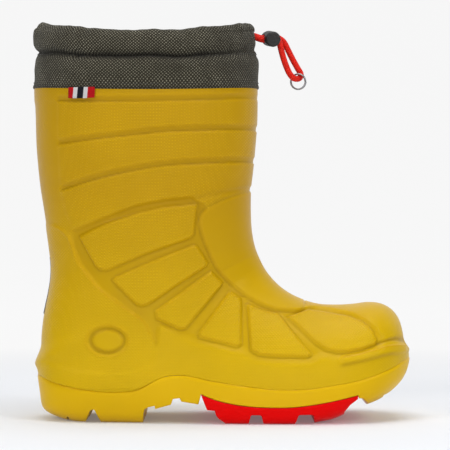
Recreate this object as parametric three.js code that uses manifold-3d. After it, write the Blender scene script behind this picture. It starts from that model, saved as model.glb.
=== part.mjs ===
// An insulated pull-on deck boot, right foot, about EU size 31: a moulded foam upper on a lugged
// outsole with a separate forefoot tread, a felt lining with a loose footbed, and a woven snow
// collar drawn in by an elastic cord with a spring cord lock and a split ring.
// Millimetres. +X points to the toe, +Y to the inner side of the foot and +Z up.
// The origin is on the ground, under the middle of the boot.
import * as THREE from "three";
import { mergeVertices } from "three/addons/utils/BufferGeometryUtils.js";
import Module from "manifold-3d";

// ---- Driving dimensions ----
const RIM_Z = 197.8; // top edge of the moulded upper at its front and back
const RIM_DIP = 2.7; // how much lower that edge is at the sides
const WALL = 5; // foam wall of the upper
const LINING = 3; // felt lining
const GAP = 0.3; // free space between separate pieces
const BOARD = 2; // insole board
const FOOTBED = 4; // felt footbed
const CORD_R = 1.6; // elastic drawcord
const LOCK_R = 4.6; // outside of the cord lock's barrel
const RING_R = 4.7; // split ring, to the middle of its wire
const WIRE_R = 0.6;

// ---- Side elevation, as [x, z] points of smooth curves ----
// The foot's pivot is the point in front of the ankle that the sections fan round.
const PIVOT = new THREE.Vector2(67.8, 121.2);
const TOE_TIP = [112.2, 37.6];
// Front of the shaft, the instep and the top of the toe.
const FRONT_LINE = [
  [21.7, 214], [21.7, 198], [21.6, 180], [20.7, 165.8], [19.1, 148.5], [17.7, 136.3],
  [17.5, 124.3], [18.1, 112.3], [19.9, 102.8], [22.9, 95.4], [27.6, 87.4], [34.6, 79.9],
  [42, 74.6], [50.2, 71], [59, 68.5], [69.6, 67.7], [79.2, 68.2], [87.8, 69.2], [95.3, 68.5],
  [101.6, 65.4], [105.9, 60.3], [108.1, 53.6], [108.6, 47.6], [109.4, 44.2], [111.5, 41], TOE_TIP,
];
// Back of the shaft, the heel with its kick ledge, the ground line and the turned-up toe.
const BACK_LINE = [
  [-112.2, 214], [-112.2, 196], [-111.6, 180], [-110.7, 163.3], [-109.5, 149.4], [-108, 136.2],
  [-106.2, 123.8], [-104.6, 111], [-103, 100.2], [-102, 91.8], [-102, 83.4], [-103, 75],
  [-104.6, 66.6], [-106.1, 58.2], [-107, 49.2], [-107.6, 42.6], [-110.4, 35.6], [-111, 32.8],
  [-110, 29], [-108.7, 22.8], [-107.6, 15.6], [-106.4, 8.8], [-103.8, 5.4], [-98.4, 2.8],
  [-92, 0.8], [-84, -0.8], [-76, -1.2], [-60, -1.2], [-30, -1.2], [0, -1.2], [40, -1.2],
  [56, -0.8], [64, 0.6], [70, 3.6], [75, 7], [80, 9.2], [85.4, 10.4], [91.6, 12.6], [97, 15.2],
  [103, 19.6], [107.3, 24], [109.8, 29], [111.3, 33.4], TOE_TIP,
];
// The joint between the upper and the outsole.
const JOINT_LINE = [
  [-130, 28], [-109, 26.6], [-98, 23.2], [-82, 19.9], [-68, 18.4], [-55, 18.7], [-48, 20.2],
  [-41, 23.8], [-34, 27], [-27, 28.2], [-19, 27.7], [-6, 25], [17, 21.6], [33, 20.1], [49, 20.3],
  [60, 21.7], [74, 24], [87, 27.4], [100, 32], [108, 35.8], [130, 44],
];
// The bottom of the foam midsole inside the outsole's cup.
const MIDSOLE_LINE = [
  [-130, 13], [-110, 13], [-90, 13], [-70, 13], [-56, 13.4], [-44, 16], [-30, 19.6], [-14, 20.4],
  [2, 17], [18, 14.2], [34, 13.8], [52, 15.2], [68, 18], [84, 22.2], [100, 27], [130, 36],
];
// The top of the midsole, where the insole board lies.
const FLOOR_LINE = [
  [-130, 24], [-95, 24], [-60, 24.2], [-30, 26.6], [-8, 26.2], [15, 22.8], [42, 22], [68, 25.2],
  [92, 31], [130, 44],
];
// The top of the forefoot tread where it meets the outsole, and its two ends.
const TREAD_TOP = [
  [-11.8, 17.2], [-0.6, 13.2], [16, 10.4], [37, 9.8], [53, 11.3], [68, 14], [79.2, 16.6],
];
// Channels and steps cut from below, as [x, z] outlines open at the ground.
const HEEL_CHANNEL = [[-81, -5], [-79.8, 0], [-76.2, 7.9], [-74, 7.9], [-70.6, 0], [-70, -5]];
const ARCH = [
  [-47.2, -5], [-45.4, 7.4], [-44, 10], [-39.4, 14.3], [-38.4, 8.8], [-28.8, 11.5],
  [-28.1, 14.6], [-24.2, 14.8], [-23.2, 13], [-13.4, 11.6], [-12.6, 14.6],
];
const TREAD_CHANNELS = [
  [[15, -5], [17.6, 5.4], [22.8, 5.4], [25.6, -5]],
  [[41.2, -5], [45.6, 5.7], [52.8, 5.7], [55.4, -5]],
];
const TREAD_REAR = [[-2.6, -5], [-3.4, 3.4], [-8.2, 7.4]];
const TREAD_FRONT = [[79.2, 14.6], [74.8, 11.2], [71.6, 7], [71.6, -5]];
const TOE_STEP = [[80, 14.9], [81.8, 14.7], [84.6, 11.6], [84.6, -5]];

// ---- Sections, from the rim (0) by the ankle (1) and the ball of the foot (2) to the toe (3) ----
// Each holds its place, half width, where along it that width is, how square its front or top
// and its back or bottom are, and its middle's place across.
const SECTIONS = [
  { at: -0.3, half: 47, widest: 0.5, top: 2.2, bottom: 2.2, across: 0 },
  { at: 0, half: 47, widest: 0.5, top: 2.2, bottom: 2.2, across: 0 },
  { at: 0.5, half: 45.4, widest: 0.5, top: 2.2, bottom: 2.2, across: 0 },
  { at: 1, half: 42, widest: 0.5, top: 2.1, bottom: 2.2, across: 0 },
  { at: 1.17, half: 39.5, widest: 0.5, top: 2.1, bottom: 2.3, across: 0 },
  { at: 1.33, half: 38.5, widest: 0.5, top: 2, bottom: 3, across: 0 },
  { at: 1.5, half: 40, widest: 0.58, top: 2, bottom: 4.6, across: -0.5 },
  { at: 1.67, half: 43.5, widest: 0.62, top: 2, bottom: 6, across: -1 },
  { at: 1.84, half: 46, widest: 0.66, top: 2, bottom: 6, across: 0 },
  { at: 2, half: 45.5, widest: 0.66, top: 2.1, bottom: 5, across: 1.5 },
  { at: 2.5, half: 35.6, widest: 0.64, top: 2.2, bottom: 3.6, across: 4 },
  { at: 3, half: 0, widest: 0.6, top: 2.2, bottom: 2.6, across: 5 },
];
const COLUMNS = 28; // flats round every section, the same on all pieces so that they nest
const TOE_ROUNDNESS = 2.35; // how square the toe is in plan; 2 is an ellipse

const wasm = await Module();
wasm.setup();

// ---- Solids ----
// A three.js geometry as a manifold-3d solid.
function solid(geometry) {
  const bare = geometry.clone();
  bare.deleteAttribute("normal");
  bare.deleteAttribute("uv");
  const merged = mergeVertices(bare, 1e-4);
  const mesh = new wasm.Mesh({
    numProp: 3,
    vertProperties: merged.attributes.position.array,
    triVerts: new Uint32Array(merged.index.array),
  });
  return new wasm.Manifold(mesh);
}

// A manifold-3d solid as a three.js geometry.
function geometryOf(made) {
  const { vertProperties, triVerts } = made.getMesh();
  const geometry = new THREE.BufferGeometry();
  geometry.setAttribute("position", new THREE.BufferAttribute(vertProperties, 3));
  geometry.setIndex(new THREE.BufferAttribute(triVerts, 1));
  geometry.computeVertexNormals();
  return geometry;
}

// A prism across the boot: an outline of [x, z] points, from y = low to y = high.
function prismAcross(outline, low, high) {
  const shape = new THREE.Shape(outline.map(([x, z]) => new THREE.Vector2(x, z)));
  const prism = new THREE.ExtrudeGeometry(shape, { depth: high - low, bevelEnabled: false });
  prism.rotateX(Math.PI / 2);
  prism.translate(0, high, 0);
  return solid(prism);
}

// A smooth curve through [x, z] points, as a list of its own points.
const smooth = (points, count) =>
  new THREE.SplineCurve(points.map(([x, z]) => new THREE.Vector2(x, z))).getPoints(count);

// Everything above or below a line in the side elevation, moved up by lift.
const SIDE = 120; // beyond the boot's sides
function halfSpace(line, lift, farZ) {
  const points = smooth(line, 72).map((p) => [p.x, p.y + lift]);
  const [first, last] = [points[0], points[points.length - 1]];
  return prismAcross([...points, [last[0], farZ], [first[0], farZ]], -SIDE, SIDE);
}
const above = (line, lift) => halfSpace(line, lift, 300);
const below = (line, lift) => halfSpace(line, lift, -50);

// ---- The boot's form ----
const FRONT = smooth(FRONT_LINE, 500);
const BACK = smooth(BACK_LINE, 800);

// How far from the origin a ray crosses a line: the nearest crossing, or the furthest.
function crossing(origin, direction, line, furthest) {
  let best = null;
  for (let i = 1; i < line.length; i++) {
    const [a, b] = [line[i - 1].clone().sub(origin), line[i].clone().sub(origin)];
    const [sideA, sideB] = [direction.cross(a), direction.cross(b)];
    if (sideA * sideB > 0 || sideA === sideB) continue;
    const far = a.lerp(b, sideA / (sideA - sideB)).dot(direction);
    if (far > 0 && (best === null || (furthest ? far > best : far < best))) best = far;
  }
  return best;
}

// A value of the table of sections at any place along the boot.
function sectionValue(key, at) {
  const next = Math.max(1, SECTIONS.findIndex((s) => s.at >= at));
  const [a, b] = [SECTIONS[next - 1], SECTIONS[next]];
  const [before, after] = [SECTIONS[next - 2] ?? a, SECTIONS[next + 1] ?? b];
  const t = (at - a.at) / (b.at - a.at);
  const span = b.at - a.at;
  const slopeA = next > 1 ? (span * (b[key] - before[key])) / (b.at - before.at) : b[key] - a[key];
  const slopeB = after !== b ? (span * (after[key] - a[key])) / (after.at - a.at) : b[key] - a[key];
  const [t2, t3] = [t * t, t * t * t];
  return (
    a[key] * (2 * t3 - 3 * t2 + 1) + slopeA * (t3 - 2 * t2 + t) +
    b[key] * (3 * t2 - 2 * t3) + slopeB * (t3 - t2)
  );
}

// One section of the form: the ends of its middle line and its shape.
function sectionAt(at) {
  const origin = PIVOT.clone();
  const toe = TOE_TIP[0] - PIVOT.x;
  let direction = new THREE.Vector2(-1, 0);
  let taper = 1;
  if (at < 1) origin.y = RIM_Z + (PIVOT.y - RIM_Z) * at;
  else if (at <= 2) direction.rotateAround(new THREE.Vector2(), ((at - 1) * Math.PI) / 2);
  else {
    const share = Math.min(Math.sin(((at - 2) * Math.PI) / 2), 1 - 1e-6);
    origin.x += toe * share;
    direction = new THREE.Vector2(0, -1);
    taper = (1 - share ** TOE_ROUNDNESS) ** (1 / TOE_ROUNDNESS);
  }
  const near = crossing(origin, direction, FRONT, false);
  const far = crossing(origin, direction, BACK, true);
  return {
    at,
    origin,
    direction,
    near,
    far,
    half: at > 2 ? sectionValue("half", 2) * taper : sectionValue("half", at),
    widest: sectionValue("widest", at),
    top: sectionValue("top", at),
    bottom: sectionValue("bottom", at),
    across: sectionValue("across", at),
  };
}

// The section moved in by inset on all sides. Past the ball of the foot it shrinks in the same
// shares as at the ball, so that it still closes at the toe.
function inset(section, by) {
  if (section.at <= 2) {
    return { ...section, near: section.near + by, far: section.far - by, half: section.half - by };
  }
  const ball = sectionAt(2);
  const tall = 1 - (2 * by) / (ball.far - ball.near);
  const wide = 1 - by / ball.half;
  const toe = TOE_TIP[0] - PIVOT.x;
  const middle = (section.near + section.far) / 2;
  const origin = section.origin.clone();
  origin.x = PIVOT.x + (origin.x - PIVOT.x) * (1 - by / toe);
  return {
    ...section,
    origin,
    near: middle + (section.near - middle) * tall,
    far: middle + (section.far - middle) * tall,
    half: section.half * wide,
  };
}

// The point of a section at an angle round it: 0 is its front or top, a half turn its back.
function sectionPoint(s, angle) {
  const [along, side] = [Math.cos(angle), Math.sin(angle)];
  const power = 2 / (along > 0 ? s.top : s.bottom);
  const middle = s.near + (s.far - s.near) * s.widest;
  const reach = along > 0 ? s.near - middle : s.far - middle;
  const place = middle + reach * Math.abs(along) ** power;
  const dip = RIM_DIP * side * side * THREE.MathUtils.clamp(1 - s.at * 2, 0, 1);
  return new THREE.Vector3(
    s.origin.x + s.direction.x * place,
    s.across + s.half * Math.sign(side) * Math.abs(side) ** power,
    s.origin.y + s.direction.y * place - dip,
  );
}

// The closed form of the boot, moved in by inset, from a place along it to the toe. Rows are
// how many sections it has down the shaft, round the heel, at the ball of the foot and ahead.
const FINE = [9, 21, 3, 12];
const COARSE = [4, 8, 2, 8];
function form(by, from, rows) {
  const stops = [from, 1, 1.75, 2, 3];
  const places = [];
  rows.forEach((count, k) => {
    for (let i = 0; i < count; i++) places.push(stops[k] + ((stops[k + 1] - stops[k]) * i) / count);
  });
  const points = [];
  const faces = [];
  for (const place of places) {
    const section = inset(sectionAt(place), by);
    for (let j = 0; j < COLUMNS; j++) points.push(sectionPoint(section, (2 * Math.PI * j) / COLUMNS));
  }
  const lid = points.length;
  const first = inset(sectionAt(from), by);
  const middle = (first.near + first.far) / 2;
  points.push(new THREE.Vector3(first.origin.x - middle, first.across, first.origin.y));
  const tip = inset(sectionAt(3), by);
  const toe = tip.origin.y - (tip.near + tip.far) / 2;
  points.push(new THREE.Vector3(tip.origin.x, tip.across, toe));
  const last = places.length - 1;
  const at = (i, j) => i * COLUMNS + (j % COLUMNS);
  for (let j = 0; j < COLUMNS; j++) {
    faces.push(lid, at(0, j), at(0, j + 1), lid + 1, at(last, j + 1), at(last, j));
    for (let i = 1; i <= last; i++) {
      faces.push(at(i - 1, j), at(i, j), at(i, j + 1), at(i - 1, j), at(i, j + 1), at(i - 1, j + 1));
    }
  }
  const geometry = new THREE.BufferGeometry().setFromPoints(points);
  geometry.setIndex(faces);
  return solid(geometry);
}

// A point of the collar at an angle round the opening: the collar is lower at its sides, and the
// more so the higher up.
function collarPoint(by, z, angle) {
  const p = sectionPoint({ ...inset(sectionAt(0), by), at: 1 }, angle);
  const dip = RIM_DIP + 0.14 * Math.max(0, z - RIM_Z);
  return p.setZ(z - dip * Math.sin(angle) ** 2);
}

// A ring round the boot's opening: an outline of [inset from the rim's edge, z] points.
function band(outline) {
  const points = [];
  const faces = [];
  for (let j = 0; j < COLUMNS; j++) {
    for (const [by, z] of outline) {
      points.push(collarPoint(by, z, (2 * Math.PI * j) / COLUMNS));
    }
  }
  const n = outline.length;
  for (let j = 0; j < COLUMNS; j++) {
    for (let i = 0; i < n; i++) {
      const [a, b] = [j * n + i, j * n + ((i + 1) % n)];
      const [c, d] = [((j + 1) % COLUMNS) * n + i, ((j + 1) % COLUMNS) * n + ((i + 1) % n)];
      faces.push(a, c, b, b, c, d);
    }
  }
  const geometry = new THREE.BufferGeometry().setFromPoints(points);
  geometry.setIndex(faces);
  return solid(geometry);
}

// ---- Materials ----
const material = (colour, roughness, metalness = 0) =>
  new THREE.MeshStandardMaterial({ color: colour, roughness, metalness });
const OCHRE = material(0xc49a12, 0.6);
const YELLOW = material(0xdeb513, 0.55);
const RED = material(0xe01a10, 0.5);
const GREY_FELT = material(0x6f6d68, 0.95);
const BOARD_GREY = material(0xb9b3a4, 0.9);
const OLIVE_CLOTH = material(0x49463b, 0.9);
const LINING_CLOTH = material(0x3d3b35, 0.9);
const ORANGE_CORD = material(0xe8321a, 0.75);
const BLACK_PLASTIC = material(0x2a2a28, 0.45);
const STEEL = material(0x5b5a58, 0.35, 0.9);
const REFLECTIVE = material(0x55575a, 0.3);
const RIBBON = material(0xc8c4bc, 0.8);

const boot = new THREE.Group();
boot.name = "deck_boot";
function piece(name, geometry, colour) {
  const mesh = new THREE.Mesh(geometry, colour);
  mesh.name = name;
  boot.add(mesh);
}

// ---- Outsole and forefoot tread ----
const OUTER = form(0, 0, FINE);
const CUP_WALL = 4;
const treadCurve = smooth(TREAD_TOP, 24).map((p) => [p.x, p.y]);
const treadEnds = [...TREAD_FRONT, ...TREAD_REAR];
const plug = form(CUP_WALL + GAP, 0, COARSE);
const ground = solid(new THREE.BoxGeometry(400, 400, 50).translate(0, 0, -25));

function outsole() {
  const belowTread = treadCurve.map(([x, z]) => [x, z + GAP]);
  const recess = prismAcross([...ARCH, ...belowTread, ...TOE_STEP], -SIDE, SIDE);
  const cup = form(CUP_WALL, 0, COARSE).intersect(above(MIDSOLE_LINE, 0));
  return OUTER.intersect(below(JOINT_LINE, 0))
    .subtract(cup)
    .subtract(recess)
    .subtract(prismAcross(HEEL_CHANNEL, -SIDE, SIDE))
    .subtract(ground);
}

function forefootTread() {
  let tread = OUTER.intersect(prismAcross([...treadCurve, ...treadEnds], -SIDE, SIDE));
  for (const channel of TREAD_CHANNELS) tread = tread.subtract(prismAcross(channel, -SIDE, SIDE));
  return tread.subtract(ground);
}

// ---- Upper, with the foam midsole that fills the outsole's cup, and the reflective strip ----
const STRIP = { low: 61.8, high: 97.2, half: 8, depth: 0.9 };

function stripBlock(grow) {
  const block = new THREE.BoxGeometry(40, 2 * (STRIP.half + grow), STRIP.high - STRIP.low + 2 * grow);
  return solid(block.translate(-105, 0, (STRIP.high + STRIP.low) / 2));
}

function upper() {
  const shell = OUTER.intersect(above(JOINT_LINE, GAP));
  const midsole = plug.intersect(above(MIDSOLE_LINE, GAP)).intersect(below(JOINT_LINE, 1.5));
  const hollow = form(WALL, -0.1, COARSE).intersect(above(FLOOR_LINE, 0));
  const tuck = band([[3.2, 189.3], [3.2, 205], [15, 205], [15, 189.3]]);
  const pocket = stripBlock(GAP).subtract(form(STRIP.depth + GAP, 0, FINE));
  return shell.add(midsole).subtract(hollow).subtract(tuck).subtract(pocket);
}

const strip = OUTER.intersect(stripBlock(0)).subtract(form(STRIP.depth, 0, FINE));

// ---- Insole board, felt lining and footbed ----
const IN_LINING = WALL + GAP;
const layer = (by, low, high) =>
  form(by, -0.1, COARSE).intersect(above(FLOOR_LINE, low)).intersect(below(FLOOR_LINE, high));
const BOARD_TOP = GAP + BOARD;
const LINING_TOP = BOARD_TOP + GAP + LINING;

function lining() {
  const inside = form(IN_LINING + LINING, -0.1, COARSE).intersect(above(FLOOR_LINE, LINING_TOP));
  const level = solid(new THREE.BoxGeometry(400, 400, 400).translate(0, 0, RIM_Z - 5 - 200));
  return form(IN_LINING, -0.1, COARSE)
    .intersect(above(FLOOR_LINE, BOARD_TOP + GAP))
    .subtract(inside)
    .intersect(level);
}

piece("outsole", geometryOf(outsole()), YELLOW);
piece("forefoot_tread", geometryOf(forefootTread()), RED);
piece("upper_shell", geometryOf(upper()), OCHRE);
piece("reflective_strip", geometryOf(strip), REFLECTIVE);
piece("insole_board", geometryOf(layer(IN_LINING, GAP, BOARD_TOP)), BOARD_GREY);
piece("felt_lining", geometryOf(lining()), GREY_FELT);
const footbed = layer(IN_LINING + LINING + GAP, LINING_TOP + GAP, LINING_TOP + GAP + FOOTBED);
piece("footbed", geometryOf(footbed), GREY_FELT);

// ---- Snow collar ----
// The woven cloth goes up from the tuck inside the rim, and its top folds in and down to make
// the tunnel for the drawcord.
const COLLAR_FACE = [
  [3.5, 189.6], [3.5, 198.4], [1.2, 200], [0.2, 206], [-0.2, 212.5], [2.6, 218.6], [1.4, 224.5],
  [2.2, 232], [5.2, 236.4], [8, 233.5], [8.6, 227], [7.6, 219.6],
];
const COLLAR_BACK = [
  [6.4, 219.6], [7.3, 227], [6.9, 232.4], [5.2, 234.6], [3.6, 231.4], [2.7, 224.5], [3.9, 218.6],
  [1.1, 212.5], [1.5, 206], [2.4, 201], [4.7, 199], [4.7, 189.6],
];
const FACING = [
  [9.8, 186], [9.8, 195.5], [5.6, 204], [4.4, 212], [5.2, 218.4], [6.1, 218.4], [5.5, 212],
  [6.7, 204.2], [10.8, 195.8], [10.8, 186],
];
const CORD_Z = 228.4;
const CORD_INSET = 5.4;

// The slot in the front of the collar that the two strands of the drawcord come out of.
const EXIT_HALF = 4.8;
const exitSlot = new THREE.BoxGeometry(8, 2 * EXIT_HALF, 5.4).translate(21, 0, CORD_Z + 0.2);

piece(
  "snow_collar",
  geometryOf(band([...COLLAR_FACE, ...COLLAR_BACK]).subtract(solid(exitSlot))),
  OLIVE_CLOTH,
);
piece("collar_facing", geometryOf(band(FACING)), LINING_CLOTH);

// ---- Ribbon tag, on the outer side under the collar ----
const TAG = { x: -80.8, width: 15.4, low: 188.6, high: 195, gap: 0.3, thick: 0.8 };
const tagBlock = new THREE.BoxGeometry(TAG.width, 60, TAG.high - TAG.low);
tagBlock.translate(TAG.x, -50, (TAG.high + TAG.low) / 2);
const tag = form(-TAG.gap - TAG.thick, 0, FINE)
  .intersect(solid(tagBlock))
  .subtract(form(-TAG.gap, 0, FINE));
piece("ribbon_tag", geometryOf(tag), RIBBON);

// ---- Drawcord ----
function tube(points, radius, steps, sides) {
  const path = new THREE.CatmullRomCurve3(points.map((p) => new THREE.Vector3(...p)));
  const circle = new THREE.Shape();
  for (let k = 0; k < sides; k++) {
    const angle = (2 * Math.PI * k) / sides;
    const [x, y] = [radius * Math.cos(angle), radius * Math.sin(angle)];
    if (k === 0) circle.moveTo(x, y);
    else circle.lineTo(x, y);
  }
  return new THREE.ExtrudeGeometry(circle, { steps, bevelEnabled: false, extrudePath: path });
}

// The run inside the tunnel, all the way round from one side of the exit to the other.
const RUN_POINTS = 32;
const run = [];
for (let k = 0; k <= RUN_POINTS; k++) {
  const p = collarPoint(CORD_INSET, CORD_Z, 0.17 + ((2 * Math.PI - 0.34) * k) / RUN_POINTS);
  run.push([p.x, p.y, p.z]);
}
piece("drawcord_run", tube(run, CORD_R, 44, 8), ORANGE_CORD);

// ---- Cord lock ----
// Its own axes: w along the barrel to its closed end, u along the strands and v up.
const LOCK = new THREE.Vector3(29.3, 0.2, 227.3);
const AXIS_W = new THREE.Vector3(0.18, -0.975, -0.13).normalize();
const AXIS_U = new THREE.Vector3(1, 0, 0).addScaledVector(AXIS_W, -AXIS_W.x).normalize();
const AXIS_V = AXIS_W.clone().cross(AXIS_U);
const lockFrame = new THREE.Matrix4().makeBasis(AXIS_U, AXIS_V, AXIS_W).setPosition(LOCK);
const STRAND_W = 1.75; // the strands lie beside each other, this far either side of the middle
const STRAND_V = 0.4;
const TRAVEL = 2; // of the plunger
const BORE_R = 3.6;
const SLOT = { half: STRAND_W + CORD_R + 0.5, high: 2 * (CORD_R + STRAND_V + 0.8) };

// A turned solid on the lock's axis: [radius, w] points from the axis and back to it.
function turned(points) {
  const lathe = new THREE.LatheGeometry(points.map(([r, w]) => new THREE.Vector2(r, w)), 20);
  return solid(lathe.rotateX(Math.PI / 2));
}

// The hole for the strands, from w = low to w = high.
const strandHole = (low, high) =>
  solid(new THREE.BoxGeometry(20, SLOT.high, high - low).translate(0, 0, (low + high) / 2));
const inLock = (made) => geometryOf(made.transform(lockFrame.elements));

const barrel = turned([
  [0, 8.2], [BORE_R, 8.2], [BORE_R, -5], [LOCK_R - 0.4, -5], [LOCK_R, -4.6], [LOCK_R, 8.7],
  [LOCK_R - 0.7, 9.4], [0, 9.4],
]).subtract(strandHole(-SLOT.half, SLOT.half));
const plunger = turned([
  [0, -9], [3.6, -9], [4.1, -8.5], [4.1, -7.2], [3.3, -7.2], [3.3, 6], [2.8, 6], [2.8, 4.7],
  [0, 4.7],
]).subtract(strandHole(-SLOT.half - TRAVEL, SLOT.half));
piece("lock_barrel", inLock(barrel), BLACK_PLASTIC);
piece("lock_plunger", inLock(plunger), BLACK_PLASTIC);

// The spring, as short as it is when the plunger is pressed home.
const coil = [];
for (let k = 0; k <= 24; k++) {
  const angle = (2 * Math.PI * k) / 12;
  coil.push([2.2 * Math.cos(angle), 2.2 * Math.sin(angle), 7.05 + (0.8 * k) / 24]);
}
piece("lock_spring", tube(coil, 0.18, 24, 6).applyMatrix4(lockFrame), STEEL);

// ---- The loop outside: out of the slot, through the lock, down to the ring and back ----
function inStrand(u, side) {
  const p = new THREE.Vector3(u, -side * STRAND_V, side * STRAND_W).applyMatrix4(lockFrame);
  return [p.x, p.y, p.z];
}
const LOOP = [
  [16, 4, 228.4], [17.4, 2.5, 228.7], [19.8, 1.9, 229], inStrand(-5.5, -1), inStrand(-2, -1),
  inStrand(2, -1), inStrand(5, -1), [37.4, 2.2, 225.4], [40, 2.4, 220.6], [42.6, 2.6, 215.4],
  [45.6, 2.8, 210], [47.6, 2.6, 206.4], [47, 1.3, 203.9], [45.2, -0.3, 203.1],
  [42.9, -1.9, 203.7], [40.6, -2.8, 206.4], [38.6, -2.8, 210.9], [36.9, -2.5, 216],
  [35.6, -2.2, 221], inStrand(4.6, 1), inStrand(2, 1), inStrand(-2, 1), inStrand(-5.5, 1),
  [19.8, -1.9, 228], [17.4, -2.5, 228.2], [16, -4, 228.4],
];
piece("drawcord_loop", tube(LOOP, CORD_R, 72, 8), ORANGE_CORD);

// ---- Split ring, hung on the loop's lowest bend ----
const RING = new THREE.Vector3(46, -0.2, 201.5);
const RING_TURN = -20; // degrees that it hangs turned from the side elevation
const turnedRing = solid(new THREE.TorusGeometry(RING_R, WIRE_R, 8, 24).rotateX(Math.PI / 2))
  .rotate([0, 0, RING_TURN])
  .translate(RING.toArray());
piece("split_ring", geometryOf(turnedRing), STEEL);

export default boot;
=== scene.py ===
"""The looks of the deck boot: a child's moulded pull-on boot with a woven snow collar.

Lengths in this script are millimetres until a mesh is made, which is in metres.
+X points to the toe, +Y to the inner side of the foot and +Z up.
"""

import math

import bmesh
import bpy
import numpy as np
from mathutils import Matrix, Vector


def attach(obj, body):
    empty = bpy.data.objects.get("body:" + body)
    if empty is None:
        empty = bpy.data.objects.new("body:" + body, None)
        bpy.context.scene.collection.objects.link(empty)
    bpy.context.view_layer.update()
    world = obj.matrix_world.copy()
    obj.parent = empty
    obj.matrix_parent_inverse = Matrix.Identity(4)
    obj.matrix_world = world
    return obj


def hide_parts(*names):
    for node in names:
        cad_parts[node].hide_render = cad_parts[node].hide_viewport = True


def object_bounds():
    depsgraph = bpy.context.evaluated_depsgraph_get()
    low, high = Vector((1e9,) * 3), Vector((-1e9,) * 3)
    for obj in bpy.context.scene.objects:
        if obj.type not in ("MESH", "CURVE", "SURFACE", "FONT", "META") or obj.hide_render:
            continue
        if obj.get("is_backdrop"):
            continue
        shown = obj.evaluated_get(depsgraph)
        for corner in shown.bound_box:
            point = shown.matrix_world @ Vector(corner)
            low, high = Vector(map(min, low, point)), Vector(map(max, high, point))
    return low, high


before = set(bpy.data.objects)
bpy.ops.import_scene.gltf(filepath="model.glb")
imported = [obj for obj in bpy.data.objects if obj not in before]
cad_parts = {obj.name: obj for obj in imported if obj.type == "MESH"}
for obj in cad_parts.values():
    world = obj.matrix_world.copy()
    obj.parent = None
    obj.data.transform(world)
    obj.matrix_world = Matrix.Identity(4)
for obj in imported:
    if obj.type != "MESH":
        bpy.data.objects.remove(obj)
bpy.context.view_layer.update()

# ---- The boot's form, close to that of the solids ----
PIVOT = np.array([67.8, 121.2])
TOE_TIP = (112.2, 37.6)
RIM_Z = 197.8
RIM_DIP = 2.7
TOE_ROUNDNESS = 2.35
FRONT_LINE = [
    (21.7, 214), (21.7, 198), (21.6, 180), (20.7, 165.8), (19.1, 148.5), (17.7, 136.3),
    (17.5, 124.3), (18.1, 112.3), (19.9, 102.8), (22.7, 95.4), (27.1, 87.3), (34.1, 79.5),
    (41.7, 74.1), (50, 70.5), (59, 68.2), (69.6, 67.7), (79.2, 68.2), (87.8, 69.2), (95.3, 68.5),
    (101.6, 65.4), (105.9, 60.3), (108.1, 53.6), (108.6, 47.6), (109.4, 44.2), (111.5, 41),
    TOE_TIP,
]
BACK_LINE = [
    (-112.2, 214), (-112.2, 196), (-111.6, 180), (-111.1, 163.3), (-110, 149.4), (-108.5, 136.2),
    (-106.5, 123.8), (-104.6, 111), (-103, 100.2), (-102, 91.8), (-102.2, 83.4), (-103.5, 75),
    (-105.3, 66.6), (-106.8, 58.2), (-107.7, 49.2), (-108.1, 42.6), (-110.8, 35.6),
    (-111.5, 32.8), (-110, 29), (-108.7, 22.8), (-107.6, 15.6), (-106.4, 8.8), (-103.8, 5.4),
    (-98.4, 2.8), (-92, 0.8), (-84, -0.8), (-76, -1.2), (-60, -1.2), (-30, -1.2), (0, -1.2),
    (40, -1.2), (50, -0.6), (57, 0.8), (64, 2), (70, 4.2), (75, 7), (80, 9.2), (85.4, 10.2),
    (91.6, 12.3), (97, 15.2), (103, 19.6), (107.3, 24), (109.8, 29), (111.3, 33.4), TOE_TIP,
]
# at, half width, where it is, front or top squareness, back or bottom squareness, across
SECTIONS = np.array([
    (-0.3, 47, 0.5, 2.2, 2.2, 0), (0, 47, 0.5, 2.2, 2.2, 0), (0.5, 45.4, 0.5, 2.2, 2.2, 0),
    (1, 42, 0.5, 2.1, 2.2, 0), (1.17, 39.5, 0.5, 2.1, 2.3, 0), (1.33, 38.5, 0.5, 2, 3, 0),
    (1.5, 40, 0.58, 2, 4.6, -0.5), (1.67, 43.5, 0.62, 2, 6, -1), (1.84, 46, 0.66, 2, 6, 0),
    (2, 45.5, 0.66, 2.1, 5, 1.5), (2.5, 35.6, 0.64, 2.2, 3.6, 4), (3, 0, 0.6, 2.2, 2.6, 5),
])


def spline(points, count):
    """A smooth curve through the points, as count + 1 points."""
    p = np.array(points, float)
    n = len(p) - 1
    t = np.linspace(0, n, count + 1)
    i = np.minimum(t.astype(int), n - 1)
    f = (t - i)[:, None]
    a = p[np.where(i == 0, i, i - 1)]
    b, c = p[i], p[i + 1]
    d = p[np.where(i > n - 2, n, i + 2)]
    v0, v1 = (c - a) / 2, (d - b) / 2
    return (2 * b - 2 * c + v0 + v1) * f**3 + (-3 * b + 3 * c - 2 * v0 - v1) * f**2 + v0 * f + b


FRONT = spline(FRONT_LINE, 500)
BACK = spline(BACK_LINE, 800)


def crossing(origin, direction, line, furthest):
    """How far along a ray it crosses a line."""
    rel = line - origin
    side = direction[0] * rel[:, 1] - direction[1] * rel[:, 0]
    a, b = side[:-1], side[1:]
    hit = (a * b <= 0) & (a != b)
    k = np.where(hit, a / np.where(a == b, 1, a - b), 0)
    far = (rel[:-1] + (rel[1:] - rel[:-1]) * k[:, None]) @ direction
    far = far[hit & (far > 0)]
    return far.max() if furthest else far.min()


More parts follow.
